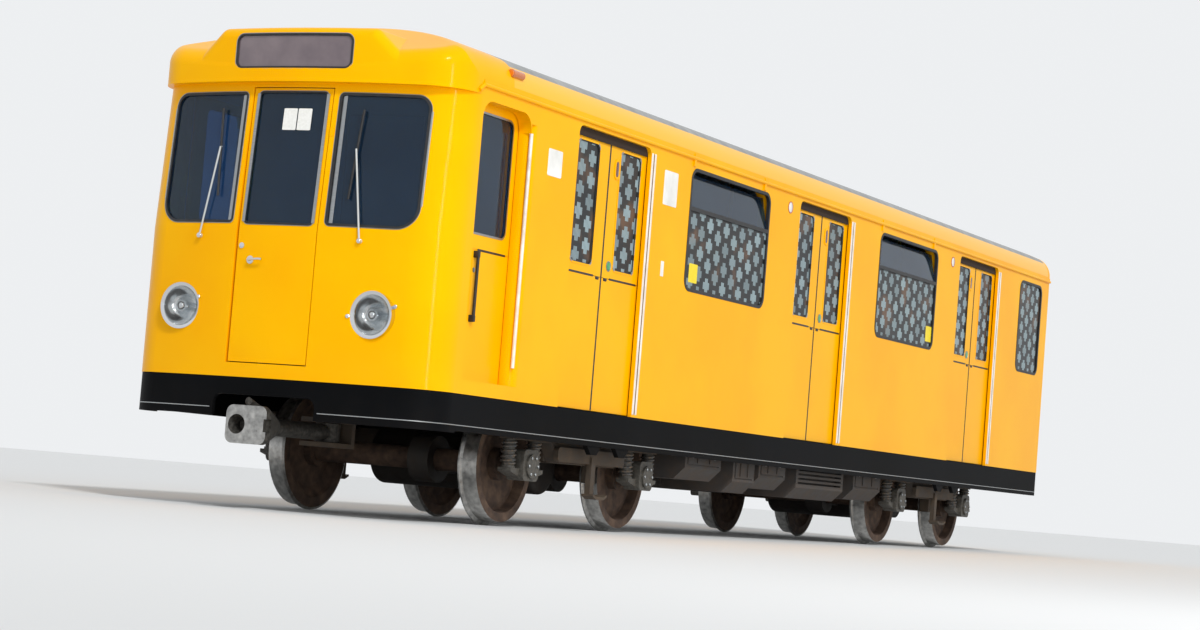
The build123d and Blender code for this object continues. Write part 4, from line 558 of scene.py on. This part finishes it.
# Nose: three curved windscreens in black rubber with a thin bright trim, a middle door of the same
# form, and bright cover strips on the posts. The rear door's pane is flat, in the same tinted glass.
SCREEN_FOOT = RAIL + 1.780
SCREEN_HEAD = RAIL + 2.630
SCREEN_MIDDLE = (SCREEN_FOOT + SCREEN_HEAD) / 2
SCREEN_Y = (0.344 + 0.960) / 2
DOOR_PANE_HALF = 0.2566
REAR_PANE_HALF = 0.1995
REAR_PANE_Z = (RAIL + 1.7745, RAIL + 2.5845)
PANE_SUNK = 0.010
PANE_EDGE = 0.0004
TRIM_R = 0.0026
POST_Y = 0.3765
CORNER_POST_Y = 0.9655
DOOR_EDGE_Y = 0.2600
RAKE_FOOT = RAIL + 1.750
RAKE_HEAD = RAIL + 2.690
RAKE = 0.065
BOW_END = 0.9187


def nose_front(y, z):
    """Outer face of the nose: the bow's circle, or the corner's past 919 mm, leaning back 65 mm above."""
    lean = RAKE * np.clip((z - RAKE_FOOT) / (RAKE_HEAD - RAKE_FOOT), 0, 1)
    bow_x = FRONT_X - lean - BOW_R
    reach = np.clip(np.abs(y) - CORNER_Y, 0, CORNER_R)
    bow = bow_x + np.sqrt(BOW_R ** 2 - y ** 2)
    return np.where(np.abs(y) < BOW_END, bow, bow_x + CORNER_REACH + np.sqrt(CORNER_R ** 2 - reach ** 2))


def nose_spot(y, z, proud):
    """The point of the nose at (y, z), moved forward by proud."""
    return float(nose_front(y, z)) + proud, y, z


def on_nose(flat, y, z, proud):
    """A flat outline about (y, z) laid on the nose, standing proud of it."""
    places_y = flat[:, 0] + y
    places_z = flat[:, 1] + z
    return np.column_stack([nose_front(places_y, places_z) + proud, places_y, places_z])


def divided(outline, count=260):
    """A closed outline walked at an even pace, so that its straight runs follow the bow they lie on."""
    closed = np.concatenate([outline, outline[:1]])
    walked = np.concatenate([[0], np.cumsum(np.linalg.norm(np.diff(closed, axis=0), axis=1))])
    steps = np.linspace(0, walked[-1], count, endpoint=False)
    return np.column_stack([np.interp(steps, walked, closed[:, 0]), np.interp(steps, walked, closed[:, 1])])


def screen_hoop(width, height, radii, y, proud, thick):
    """A round bead bent about a windscreen: the rounded outline laid on the nose, with a tube along it."""
    outline = divided(rounded(width, height, radii, 9))
    return tube(on_nose(outline, y, SCREEN_MIDDLE, proud), thick, 8, (1, 0, 0), True)


def cover_strip(y, width, margins, proud, thick=0.003):
    """A flat bar up the nose: at each height a squared oval of the width, on the bow and the rake."""
    heights = np.linspace(SCREEN_FOOT + margins[0], SCREEN_HEAD - margins[1], 16)[:, None]
    turn = np.linspace(0, 2 * math.pi, 16, endpoint=False)[None, :]
    across = y + width / 2 * np.sign(np.sin(turn)) * np.sqrt(np.abs(np.sin(turn))) + 0 * heights
    lift = proud + thick * np.sign(np.cos(turn)) * np.sqrt(np.abs(np.cos(turn)))
    return np.stack([nose_front(across, heights) + lift, across, heights + 0 * turn], axis=-1)


def laid(width, height, radius, y, z, proud, thick):
    """A thin sheet laid on the nose: its rounded outline at the foot and at the thickness above it."""
    outline = divided(rounded(width, height, radius, 5), 60)
    return np.array([on_nose(outline, y, z, proud), on_nose(outline, y, z, proud + thick)])


for side in (1, -1):
    radii = (0.094, 0.034, 0.034, 0.144) if side > 0 else (0.034, 0.094, 0.144, 0.034)
    trim = screen_hoop(0.622, 0.856, radii, side * SCREEN_Y, 0.0015, TRIM_R)
    skin(f"screen_trim_{side + 1}", [trim], steel_rim, loop=True)
    strips = [cover_strip(side * POST_Y, 0.030, (0.018, 0.018), -PANE_SUNK),
              cover_strip(side * CORNER_POST_Y, 0.012, (0.150, 0.100), 0.001)]
    skin(f"post_strips_{side + 1}", strips, steel_rim)
wear(["front_door", "rear_door"], yellow)
along, across, up = centres("front_door")
in_hole = between(up, SCREEN_FOOT + PANE_EDGE, SCREEN_HEAD - PANE_EDGE)
wear_where("front_door", tinted, in_hole & (np.abs(across) < DOOR_PANE_HALF))
gasket = screen_hoop(0.514, 0.850, 0.030, 0.0, -0.007, 0.008)
skin("middle_screen_gasket", [gasket], rubber, "front_door", loop=True)
trim = screen_hoop(0.530, 0.866, 0.036, 0.0, -0.002, TRIM_R)
skin("middle_screen_trim", [trim], steel_rim, "front_door", loop=True)
strips = [cover_strip(side * DOOR_EDGE_Y, 0.022, (0.010, 0.010), 0.001) for side in (1, -1)]
skin("middle_screen_strips", strips, steel_rim, "front_door")
along, across, up = centres("rear_door")
wear_where("rear_door", tinted, (np.abs(across) < REAR_PANE_HALF) & between(up, *REAR_PANE_Z))

# Destination glass: a curved pane in the brow over the visor, greyed from inside, in a black gasket
# with a bright edge.
SIGN_Z = RAIL + 2.885
SIGN_FOOT = RAIL + 2.700
SIGN_SETBACK = 0.003


def on_sign(flat, proud):
    """A flat outline laid on the sign's bowed face, a circle of 4.013 m, standing proud of it."""
    bow = BOW_R - SIGN_SETBACK
    x = FRONT_X - BOW_R + np.sqrt(bow ** 2 - flat[:, 0] ** 2) + proud
    return np.column_stack([x, flat[:, 0], flat[:, 1] + SIGN_Z])


# Toughened glass over a drawn blind: a warm, cloudy grey under a hard shine.
sign_glass = patterned("toughened_glass_over_grey_blind", "Noise", (5.0, 3.0),
                       [(0.3, "62545A"), (0.7, "75666A")], roughness=0.25, coat_weight=1.0)
along, across, up = centres("window_glass")
wear_where("window_glass", sign_glass, (along > SIDE_GLASS_X[1]) & (up > SIGN_FOOT))
gasket = tube(on_sign(divided(rounded(0.860, 0.210, 0.045, 9)), -0.001), 0.007, 8, (1, 0, 0), True)
skin("sign_gasket", [gasket], rubber, loop=True)
trim = tube(on_sign(divided(rounded(0.880, 0.230, 0.054, 9)), 0.0), 0.003, 8, (1, 0, 0), True)
skin("sign_trim", [trim], steel_rim, loop=True)

# Door fittings: a chromed lever on a rose on each end door, a round lock above the front one, and two
# blank white cards near the top of the middle screen.
HANDLE_Y = -0.180
HANDLE_Z = RAIL + 1.545
KEYHOLE_Y = -0.255
KEYHOLE_Z = RAIL + 1.635
FITTING_SUNK = 0.004
CARD_Z = RAIL + 2.455
# Polished chrome: bright and cool, with dull smears where it is handled.
chrome = patterned("polished_chrome", "Noise", (12.0, 5.0), rough=(0.04, 0.2),
                   metallic=1.0, base_color=linear("D6D8DA"))
# Uncoated card: a dry white with faint fibres.
card = patterned("uncoated_card_white", "Noise", (60.0, 4.0),
                 [(0.3, "E6E6E1"), (0.7, "F2F2EE")], roughness=0.85)
rose = [(0, 0.026), (0.006, 0.026), (0.009, 0.022), (0.011, 0.010), (0.030, 0.0095), (0.032, 0.006)]
barrel = [(0, 0.019), (0.006, 0.019), (0.009, 0.015), (0.009, 0.003)]
lever = np.array([[0.0, 0.0, 0.026], [0.010, 0.001, 0.034], [0.085, 0.006, 0.038], [0.105, 0.004, 0.036]])
places = (("front_door", nose_spot(HANDLE_Y, HANDLE_Z, -FITTING_SUNK), 1),
          ("rear_door", (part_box("rear_door")[0][0] - 0.001, HANDLE_Y, HANDLE_Z), -1))
for node, at, way in places:
    out = (way, 0, 0)
    parts = [lathe(rose, at, out), tube(placed(lever * (way, 1, 1), at, out), 0.0075, 10)]
    if node == "front_door":
        parts.append(lathe(barrel, nose_spot(KEYHOLE_Y, KEYHOLE_Z, -FITTING_SUNK), out))
    skin(f"{node}_handle", parts, chrome, node)
cards = [laid(0.100, 0.140, 0.003, y, CARD_Z, 0.0005 - PANE_SUNK, 0.001) for y in (0.100, -0.008)]
skin("screen_cards", cards, card, "front_door")

# Headlamps: silvered bowls with a bulb shield behind clear domed glass, in chromed bezels with two
# screwed lugs. The marker lamps on the roof's shoulder are amber acrylic.
LAMP_Y = 0.717
HEAD_Z = RAIL + 1.237
LAMP_GLASS_R = 0.1275
LAMP_GLASS_X = 6.15
MARKER_Z = 2.5
LUG_REACH = 0.160
LUG_ANGLES = (22, 186)
# Pressed glass, nearly clean: clear, with a slight blur in patches.
lens = patterned("pressed_lamp_glass_clear", "Noise", (20.0, 5.0), rough=(0.0, 0.06),
                 transmission_weight=1.0, ior=1.5)
# Silvered bowl: a soft mirror with pale tarnish.
silvered = patterned("silvered_bowl", "Noise", (6.0, 3.0),
                     [(0.35, "C4CACE"), (0.65, "EDF0F1")], metallic=1.0, roughness=0.16)
# Acrylic, moulded with ribs about 10 mm apart: banded amber under a wet shine.
amber = patterned("moulded_acrylic_amber", "Wave", (30.0,),
                  [(0.2, "A9520E"), (0.8, "D9761A")], roughness=0.18, coat_weight=0.9)
wear(["lamps"], chrome)
along, across, up = centres("lamps")
reach = np.hypot(np.abs(across) - LAMP_Y, up - HEAD_Z)
wear_where("lamps", lens, (reach < LAMP_GLASS_R) & (along > LAMP_GLASS_X))
wear_where("lamps", amber, up > MARKER_Z)
bowl = [(-0.064, 0.001), (-0.064, 0.1272), (0.0075, 0.1272), (0.0075, 0.1262), (-0.004, 0.117),
        (-0.026, 0.090), (-0.045, 0.058), (-0.056, 0.030), (-0.060, 0.001)]
shield = [(-0.058, 0.001), (-0.058, 0.011), (-0.030, 0.011), (-0.032, 0.030), (-0.022, 0.034),
          (-0.008, 0.029), (0.002, 0.016), (0.005, 0.001)]
lug = [(0, 0.013), (0.012, 0.013), (0.014, 0.011), (0.014, 0.007), (0.019, 0.0065), (0.021, 0.004),
       (0.021, 0.001)]
bowls, screws = [], []
for side in (1, -1):
    at = nose_spot(side * LAMP_Y, HEAD_Z, 0.0)
    bowls.append(lathe(bowl, at, (1, 0, 0), sides=48))
    bowls.append(lathe(shield, at, (1, 0, 0), sides=32))
    for angle in LUG_ANGLES:
        y = side * LAMP_Y + LUG_REACH * math.cos(math.radians(angle))
        z = HEAD_Z + LUG_REACH * math.sin(math.radians(angle))
        screws.append(lathe(lug, nose_spot(y, z, -0.002), (1, 0, 0), sides=20))
skin("lamp_bowls", bowls, silvered)
skin("lamp_lugs", screws, chrome)

# Wipers: pressed steel arms, sprayed pale grey, on splined pivots under chromed caps. Each holds a
# black rubber blade that stands on the glass.
BLADE_FOOT = np.array([0.490, RAIL + 1.952])
BLADE_TIP = np.array([0.530, RAIL + 2.522])
BLADE_HALF = 0.0082
BLADE_SPAN = (-0.01, 0.58)
BLADE_X = 6.1
PIVOT_Y = 0.600
PIVOT_Z = RAIL + 1.692
PIVOT_OUT = 0.0203
# Satin paint, sprayed: a plain light grey that catches a soft line of light.
pale_arm = sprayed("satin_paint_light_grey", "C9CBC8", "BDBFBC", 0.35, coat=0.1)
wear(["wipers"], pale_arm)
along, across, up = centres("wipers")
run = BLADE_TIP - BLADE_FOOT
run /= np.linalg.norm(run)
flat = np.column_stack([np.abs(across), up]) - BLADE_FOOT
aside = np.abs(flat[:, 0] * run[1] - flat[:, 1] * run[0])
on_blade = (aside < BLADE_HALF) & between(flat @ run, *BLADE_SPAN)
wear_where("wipers", rubber, on_blade & (along > BLADE_X))
domed = [(0, 0.016), (0.006, 0.016), (0.011, 0.011), (0.013, 0.003)]
caps = [lathe(domed, nose_spot(y, PIVOT_Z, PIVOT_OUT), (1, 0, 0)) for y in (PIVOT_Y, -PIVOT_Y)]
skin("wiper_pivot_caps", caps, chrome)

# Side boards: two blank enamelled plates by the front doorway, and two round blank signs with a red
# ring over the windows, each on a thin gasket. A small yellow label fills a corner of each window.
BOARDS = ((0.200, 0.180, 0.012, 4.760, RAIL + 2.400, 7), (0.230, 0.250, 0.012, 2.945, RAIL + 2.475, 7),
          (0.050, 0.110, 0.004, 2.985, RAIL + 1.890, 3))
SIGN_PLACES = (0.690, -3.270)
ROUND_Z = RAIL + 2.630
LABEL_PLACES = (2.425, -2.765)
LABEL_Z = RAIL + 1.915
LABEL_SUNK = 0.0101
# Vitreous enamel: a hard white with faint stains.
plate_white = patterned("vitreous_enamel_white", "Noise", (7.0, 6.0),
                        [(0.3, "DFDED8"), (0.6, "F1F0EC")], roughness=0.22, coat_weight=0.25)
# Screen-printed ink: a flat red, a little uneven.
ring_red = patterned("screen_printed_red", "Noise", (45.0, 3.0),
                     [(0.3, "A92427"), (0.7, "BF2C2D")], roughness=0.3)
# Vinyl label, bleached in patches: a sharp lemon yellow.
label_yellow = patterned("vinyl_label_yellow", "Noise", (18.0, 3.0),
                         [(0.3, "F2D506"), (0.7, "FBE212")], roughness=0.45)
boards, signs, rings, labels = [], [], [], []
edge = [(0, 0), (0, 0.0015), (0.001, 0.0025)]
disc = [(0, 0.045), (0.0015, 0.045), (0.0022, 0.044), (0.0022, 0.001)]
ring = [(0.0005, 0.048), (0.0028, 0.048), (0.0028, 0.041), (0.0005, 0.041)]
for side in (1, -1):
    out = (0, side, 0)
    for width, height, radius, x, z, steps in BOARDS:
        boards.append(plate(width, height, radius, edge, (x, side * HALF, z), out, steps))
    for x in SIGN_PLACES:
        signs.append(lathe(disc, (x, side * HALF, ROUND_Z), out))
        rings.append(lathe(ring, (x, side * HALF, ROUND_Z), out))
    for x in LABEL_PLACES:
        at = (x, side * (HALF - LABEL_SUNK), LABEL_Z)
        labels.append(plate(0.150, 0.140, 0.006, [(0, 0), (0, 0.0008)], at, out, 3))
skin("side_boards", boards, plate_white)
skin("round_signs", signs, plate_white)
skin("round_sign_rings", rings, ring_red, loop=True)
skin("window_labels", labels, label_yellow)

# Inside: a laminate bulkhead, moulded glass-fibre benches, a grey desk with a black controller, and
# the driver's seat, a foam cushion and back in blue wool moquette on a steel pedestal.
SEAT_X = 5.320
SEAT_Y = -0.100
SEAT_FOOT = RAIL + 0.890
SEAT_PAN = RAIL + 1.300
BACK_X = SEAT_X - 0.1797
BRACKET_X = SEAT_X - 0.190
PAD_CORNER = 0.055
PAD_TUCK = 0.016
# Glass fibre in a gelcoat: a slate blue with fine paler flecks of about 10 mm, under a mild shine.
moulded, tree, shader = material("glass_fibre_gelcoat_blue", roughness=0.35, coat_weight=0.3)
spot = add(tree, "TexCoord")["Object"]
fleck = add(tree, "TexVoronoi", {"Vector": spot, "Scale": 90.0})["Color"]
speckle = add(tree, "SeparateXYZ", {"Vector": fleck})["X"]
tone = add(tree, "ValToRGB", {"Fac": speckle}, [(0.1, "2C3B57"), (0.9, "3A4B6B")])
tree.links.new(tone["Color"], shader.inputs["Base Color"])
# Textured paint: a dull mid grey.
desk_grey = sprayed("textured_paint_desk_grey", "4A4D50", "434649", 0.6)
# Wool moquette, woven: a deep soft blue with no shine. Its threads are drawn 5 mm apart so that they show.
moquette, tree, shader = material("wool_moquette_blue", roughness=0.95, sheen_weight=0.4)
spot = add(tree, "TexCoord")["Object"]
warp = add(tree, "TexWave", {"Vector": spot, "Scale": 60.0}, bands_direction="X")["Fac"]
weft = add(tree, "TexWave", {"Vector": spot, "Scale": 60.0}, bands_direction="Y")["Fac"]
weave = add(tree, "Math", {0: warp, 1: weft}, operation="MULTIPLY")[0]
tone = add(tree, "ValToRGB", {"Fac": weave}, [(0.1, "18243F"), (0.7, "33456E")])
tree.links.new(tone["Color"], shader.inputs["Base Color"])
bump = add(tree, "Bump", {"Height": weave, "Strength": 0.5, "Distance": 0.001})
tree.links.new(bump["Normal"], shader.inputs["Normal"])
wear(["cab_bulkhead", "bulkhead_door"], laminate)
wear(["benches"], moulded)
wear(["driver_desk"], desk_grey)


def pad(name, size, centre, out, up, crown):
    """A stuffed pad: rounded rings that swell by the sine of their height, under a crowned face."""
    width, height, depth = size
    rows = []
    for share in np.linspace(0.0, 1.0, 12):
        tuck = PAD_TUCK * (1 - math.sin(0.12 + share * (math.pi - 0.24)))
        flat = rounded(width - 2 * tuck, height - 2 * tuck, PAD_CORNER, 10)
        rows.append(np.column_stack([flat, np.full(len(flat), share * (depth - crown))]))
    for share in np.linspace(0.12, 0.97, 9):
        rise = depth - crown + crown * (1 - (1 - share) ** 2)
        rows.append(np.column_stack([flat * (1 - share), np.full(len(flat), rise)]))
    piece = skin(name, [placed(np.array(rows), centre, out, up)], moquette)
    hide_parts("driver_seat")
    seam = rounded(width - 0.006, height - 0.006, PAD_CORNER, 10)
    seam = placed(np.column_stack([seam, np.full(len(seam), depth - crown)]), centre, out, up)
    piping = skin(f"{name}_piping", [tube(seam, 0.004, 8, out, True)], rubber, loop=True)
    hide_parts("driver_seat")


at = (SEAT_X, SEAT_Y, SEAT_PAN + 0.0153)
pad("seat_cushion", (0.400, 0.340, 0.080), at, (0, 0, 1), (1, 0, 0), 0.022)
at = (BACK_X, SEAT_Y, SEAT_PAN + 0.335)
pad("seat_back", (0.400, 0.450, 0.0697), at, (1, 0, 0), (0, 0, 1), 0.02)
pedestal = [(0, 0.140), (0.008, 0.140), (0.020, 0.130), (0.024, 0.060), (0.060, 0.045), (0.200, 0.045),
            (0.201, 0.036), (0.410, 0.036)]
tray = [(0, 0), (0, 0.012), (0.003, 0.015)]
bracket = np.array([[BRACKET_X, SEAT_Y, SEAT_PAN + 0.45], [BRACKET_X, SEAT_Y, SEAT_PAN + 0.02],
                    [SEAT_X - 0.170, SEAT_Y, SEAT_PAN - 0.004], [SEAT_X - 0.05, SEAT_Y, SEAT_PAN - 0.006]])
at = (SEAT_X - 0.005, SEAT_Y, SEAT_PAN)
parts = [lathe(pedestal, (SEAT_X, SEAT_Y, SEAT_FOOT), (0, 0, 1), (1, 0, 0), 32),
         plate(0.360, 0.350, 0.030, tray, at, (0, 0, 1), 5, (1, 0, 0)), tube(bracket, 0.010, 12, (0, 1, 0))]
stand = skin("seat_stand", parts, chassis)
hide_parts("driver_seat")

# Underfloor equipment: folded steel cases with hinged lids, resistor banks behind louvres and two
# air tanks, all in grey machine paint under a coat of brown brake dust.
LIDS = {1: ((-2.080, -1.420), (0.120, 0.671), (0.756, 1.180), (1.420, 2.080)),
        -1: ((-2.080, -1.420), (-1.180, -0.120), (1.420, 2.080))}
LID_Y = 1.0438
LATCH_Z = RAIL + 0.600
LATCH_MARGIN = 0.130
# Machine paint, brushed and dusted over: a dull slate grey that browns towards the ground.
case_paint = sprayed("machine_paint_grey_dusty", "34373A", "2A2C2E", 0.55, dust_top=1.15, dust_share=0.95,
                     dust="54463A")
wear(["underfloor_equipment"], case_paint)
latches = []
raised = [(0, 0), (0, 0.004), (0.002, 0.006)]
for side, spans in LIDS.items():
    for start, end in spans:
        for x in (start + LATCH_MARGIN, end - LATCH_MARGIN):
            at = (x, side * LID_Y, LATCH_Z)
            latches.append(plate(0.030, 0.070, 0.006, raised, at, (0, side, 0), 3))
skin("case_latches", latches, steel_rim)

# Wheelsets: rolled steel wheels pressed on a forged axle. The treads are polished by the rail, and
# the discs carry rust-brown brake dust.
AXLES = {"wheelset_1": 4.5, "wheelset_2": 2.7, "wheelset_3": -2.7, "wheelset_4": -4.5}
WHEEL_R = 0.390
WHEEL_Y = 0.680
TREAD_DEPTH = 0.012
# Rolled steel, polished by the rail: a bright grey metal, smooth and dull by turns.
tread = patterned("rolled_steel_tread", "Noise", (25.0, 4.0),
                  [(0.3, "8D8C8A"), (0.7, "C1C0BD")], rough=(0.2, 0.45), metallic=1.0)
# Forged steel under rust and brake dust: a rough, crusted brown.
rusty = patterned("forged_steel_rust_brown", "Noise", (14.0, 8.0),
                  [(0.3, "33261E"), (0.5, "4A382C"), (0.7, "5E4A3A")], bump=(0.4, 0.002), roughness=0.85)
for node, x in AXLES.items():
    wear([node], rusty)
    along, across, up = centres(node)
    reach = np.hypot(along - x, up - RAIL - WHEEL_R)
    wear_where(node, tread, (reach > WHEEL_R - TREAD_DEPTH) & (np.abs(across) > WHEEL_Y))

# Bogies: welded box-section frames with cast axleboxes, coil springs beside each box, rubber bellows
# under the body, nose-hung motors and the collector beams. Each axlebox cover has six bolts.
BOGIES = {"front": 3.6, "rear": -3.6}
HALF_BASE = 0.9
SPRING_X = 0.175
SPRING_Y = 0.935
SPRING_FOOT = RAIL + 0.386 + 0.008
SPRING_HEAD = RAIL + 0.556 - 0.008
SPRING_R = 0.047
WIRE_R = 0.0075
COILS = 5.5
BELLOWS_HALF = 0.25
BELLOWS_FOOT = RAIL + 0.575
COVER_Y = 1.0361
BOLT_CIRCLE = 0.062
# Cast steel, painted: a gritty grey-brown with a sandy skin.
cast = patterned("cast_steel_painted_grey", "Noise", (60.0, 6.0),
                 [(0.3, "38352F"), (0.7, "55524C")], bump=(0.5, 0.001), roughness=0.6)
# Spring steel, enamelled: a dark, half-metallic grey with brown chips.
spring_steel = patterned("spring_steel_enamelled_black", "Noise", (40.0, 4.0),
                         [(0.4, "5A5C5E"), (0.65, "7A6A58")], roughness=0.35, metallic=0.4)
# Machine paint soaked with oil: nearly black, with a greasy shine under the dust.
motor_paint = sprayed("oily_machine_paint_black", "1E1F20", "141516", 0.42, dust_top=0.9, dust_share=0.7,
                      dust="3F342A")


def coil(x, y, radius):
    """A helix: the angle grows with height, flattened at both ends where the coil is ground."""
    share = np.linspace(0, 1, int(COILS * 14))
    angle = 2 * math.pi * COILS * share
    height = SPRING_FOOT + (SPRING_HEAD - SPRING_FOOT) * (share - 0.035 * np.sin(2 * math.pi * share))
    return np.column_stack([x + radius * np.cos(angle), y + radius * np.sin(angle), height])


bolt = [(0, 0.011), (0.007, 0.011), (0.009, 0.009), (0.009, 0.001)]
for name, bogie_x in BOGIES.items():
    wear([f"bogie_{name}_frame", f"bogie_{name}_collectors"], chassis)
    wear([f"bogie_{name}_motors"], motor_paint)
    node = f"bogie_{name}_axleboxes"
    wear([node], cast)
    along, across, up = centres(node)
    wear_where(node, rubber, (np.abs(along - bogie_x) < BELLOWS_HALF) & (up > BELLOWS_FOOT))
    springs, bolts = [], []
    for way in (1, -1):
        axle_x = bogie_x + way * HALF_BASE
        for side in (1, -1):
            for shift in (SPRING_X, -SPRING_X):
                springs.append(tube(coil(axle_x + shift, side * SPRING_Y, SPRING_R), WIRE_R, 8))
            for angle in np.arange(6) * math.pi / 3:
                at = (axle_x + BOLT_CIRCLE * math.cos(angle), side * COVER_Y,
                      RAIL + WHEEL_R + BOLT_CIRCLE * math.sin(angle))
                bolts.append(lathe(bolt, at, (0, side, 0), sides=6))
    skin(f"bogie_{name}_springs", springs, spring_steel, f"bogie_{name}")
    skin(f"bogie_{name}_cover_bolts", bolts, steel_rim, f"bogie_{name}")

# Couplers: cast steel heads on drawn bars. The face plates are worn bright, and the rear flange
# waits for eight bolts.
COUPLER_FACE = 6.4145
# Bare cast steel: a dark, blotched metal, duller where it is rough.
coupler_cast = patterned("cast_steel_bare", "Noise", (50.0, 8.0),
                         [(0.3, "2D2B28"), (0.7, "5B5853")], rough=(0.4, 0.8), metallic=0.7)
wear(["coupler_front", "coupler_rear"], coupler_cast)
for node in ("coupler_front", "coupler_rear"):
    wear_where(node, tread, np.abs(centres(node)[0]) > COUPLER_FACE)

# Studio: a pale floor that fades to the backdrop, a broad soft sun and an even sky. One tall, narrow
# softbox stands beside the cab, and its glint runs down the rounded corner of the nose.
FLOOR_HALF = 90
SKY_ON_OBJECT = 0.62
SKY_SEEN = 0.94
SUN_STRENGTH = 1.85
SUN_WIDTH = 8
SUN_RUN = (-0.62, -0.72, -0.8)
SOFTBOX_AT = (11.4, 12.2, 3.2)
SOFTBOX_AIM = (6.1, 1.0, 1.9)
SOFTBOX_SIZE = (1.2, 6.0)
SOFTBOX_WATTS = 370.0
corners = [(FLOOR_HALF * x, FLOOR_HALF * y, 0) for x, y in ((-1, -1), (1, -1), (1, 1), (-1, 1))]
plane = bpy.data.meshes.new("floor")
plane.from_pydata(corners, [], [(0, 1, 2, 3)])
floor = put("floor", plane)
# Painted floor: a plain pale grey with no shine.
floor_paint, tree, shader = material("painted_floor", roughness=0.9, base_color=linear("DFE0E0"))
plane.materials.append(floor_paint)
world = bpy.data.worlds.new("studio")
bpy.context.scene.world = world
world.use_nodes = True
tree = world.node_tree
tree.nodes.clear()
rays = add(tree, "LightPath")
seen = rays["Is Camera Ray"]
for kind in ("Is Transmission Ray", "Is Glossy Ray"):
    seen = add(tree, "Math", {0: seen, 1: rays[kind]}, operation="MAXIMUM")[0]
strength = add(tree, "MapRange", {"Value": seen, "To Min": SKY_ON_OBJECT, "To Max": SKY_SEEN})
sky = add(tree, "Background", {"Color": linear("F4F6F8"), "Strength": strength["Result"]})
add(tree, "OutputWorld", {"Surface": sky[0]})
lamp = bpy.data.lights.new("sun", "SUN")
lamp.energy = SUN_STRENGTH
lamp.angle = math.radians(SUN_WIDTH)
sun = put("sun", lamp)
sun.rotation_euler = Vector(SUN_RUN).to_track_quat("-Z", "Y").to_euler()
lamp = bpy.data.lights.new("softbox", "AREA")
lamp.shape = "RECTANGLE"
lamp.size, lamp.size_y = SOFTBOX_SIZE
lamp.energy = SOFTBOX_WATTS
softbox = put("softbox", lamp)
softbox.location = SOFTBOX_AT
softbox.rotation_euler = (Vector(SOFTBOX_AIM) - Vector(SOFTBOX_AT)).to_track_quat("-Z", "Y").to_euler()
softbox.visible_camera = False
bpy.context.scene.view_settings.view_transform = "Standard"

# Camera: on the floor, ahead and to the left of the cab, and looking up at it through a long lens.
# It is tilted as the photograph is.
EYE = (20.707, 9.560, 0.30)
AIM = (1.62, 0.0, 1.66)
LENS = 82.0
ROLL = 4.6
camera = bpy.data.cameras.new("camera")
camera.lens = LENS
camera.sensor_width = 36.0
stand = put("camera", camera)
stand.location = EYE
look = (Vector(AIM) - Vector(EYE)).to_track_quat("-Z", "Y")
stand.rotation_mode = "QUATERNION"
stand.rotation_quaternion = look @ Quaternion((0, 0, 1), math.radians(ROLL))
bpy.context.scene.camera = stand
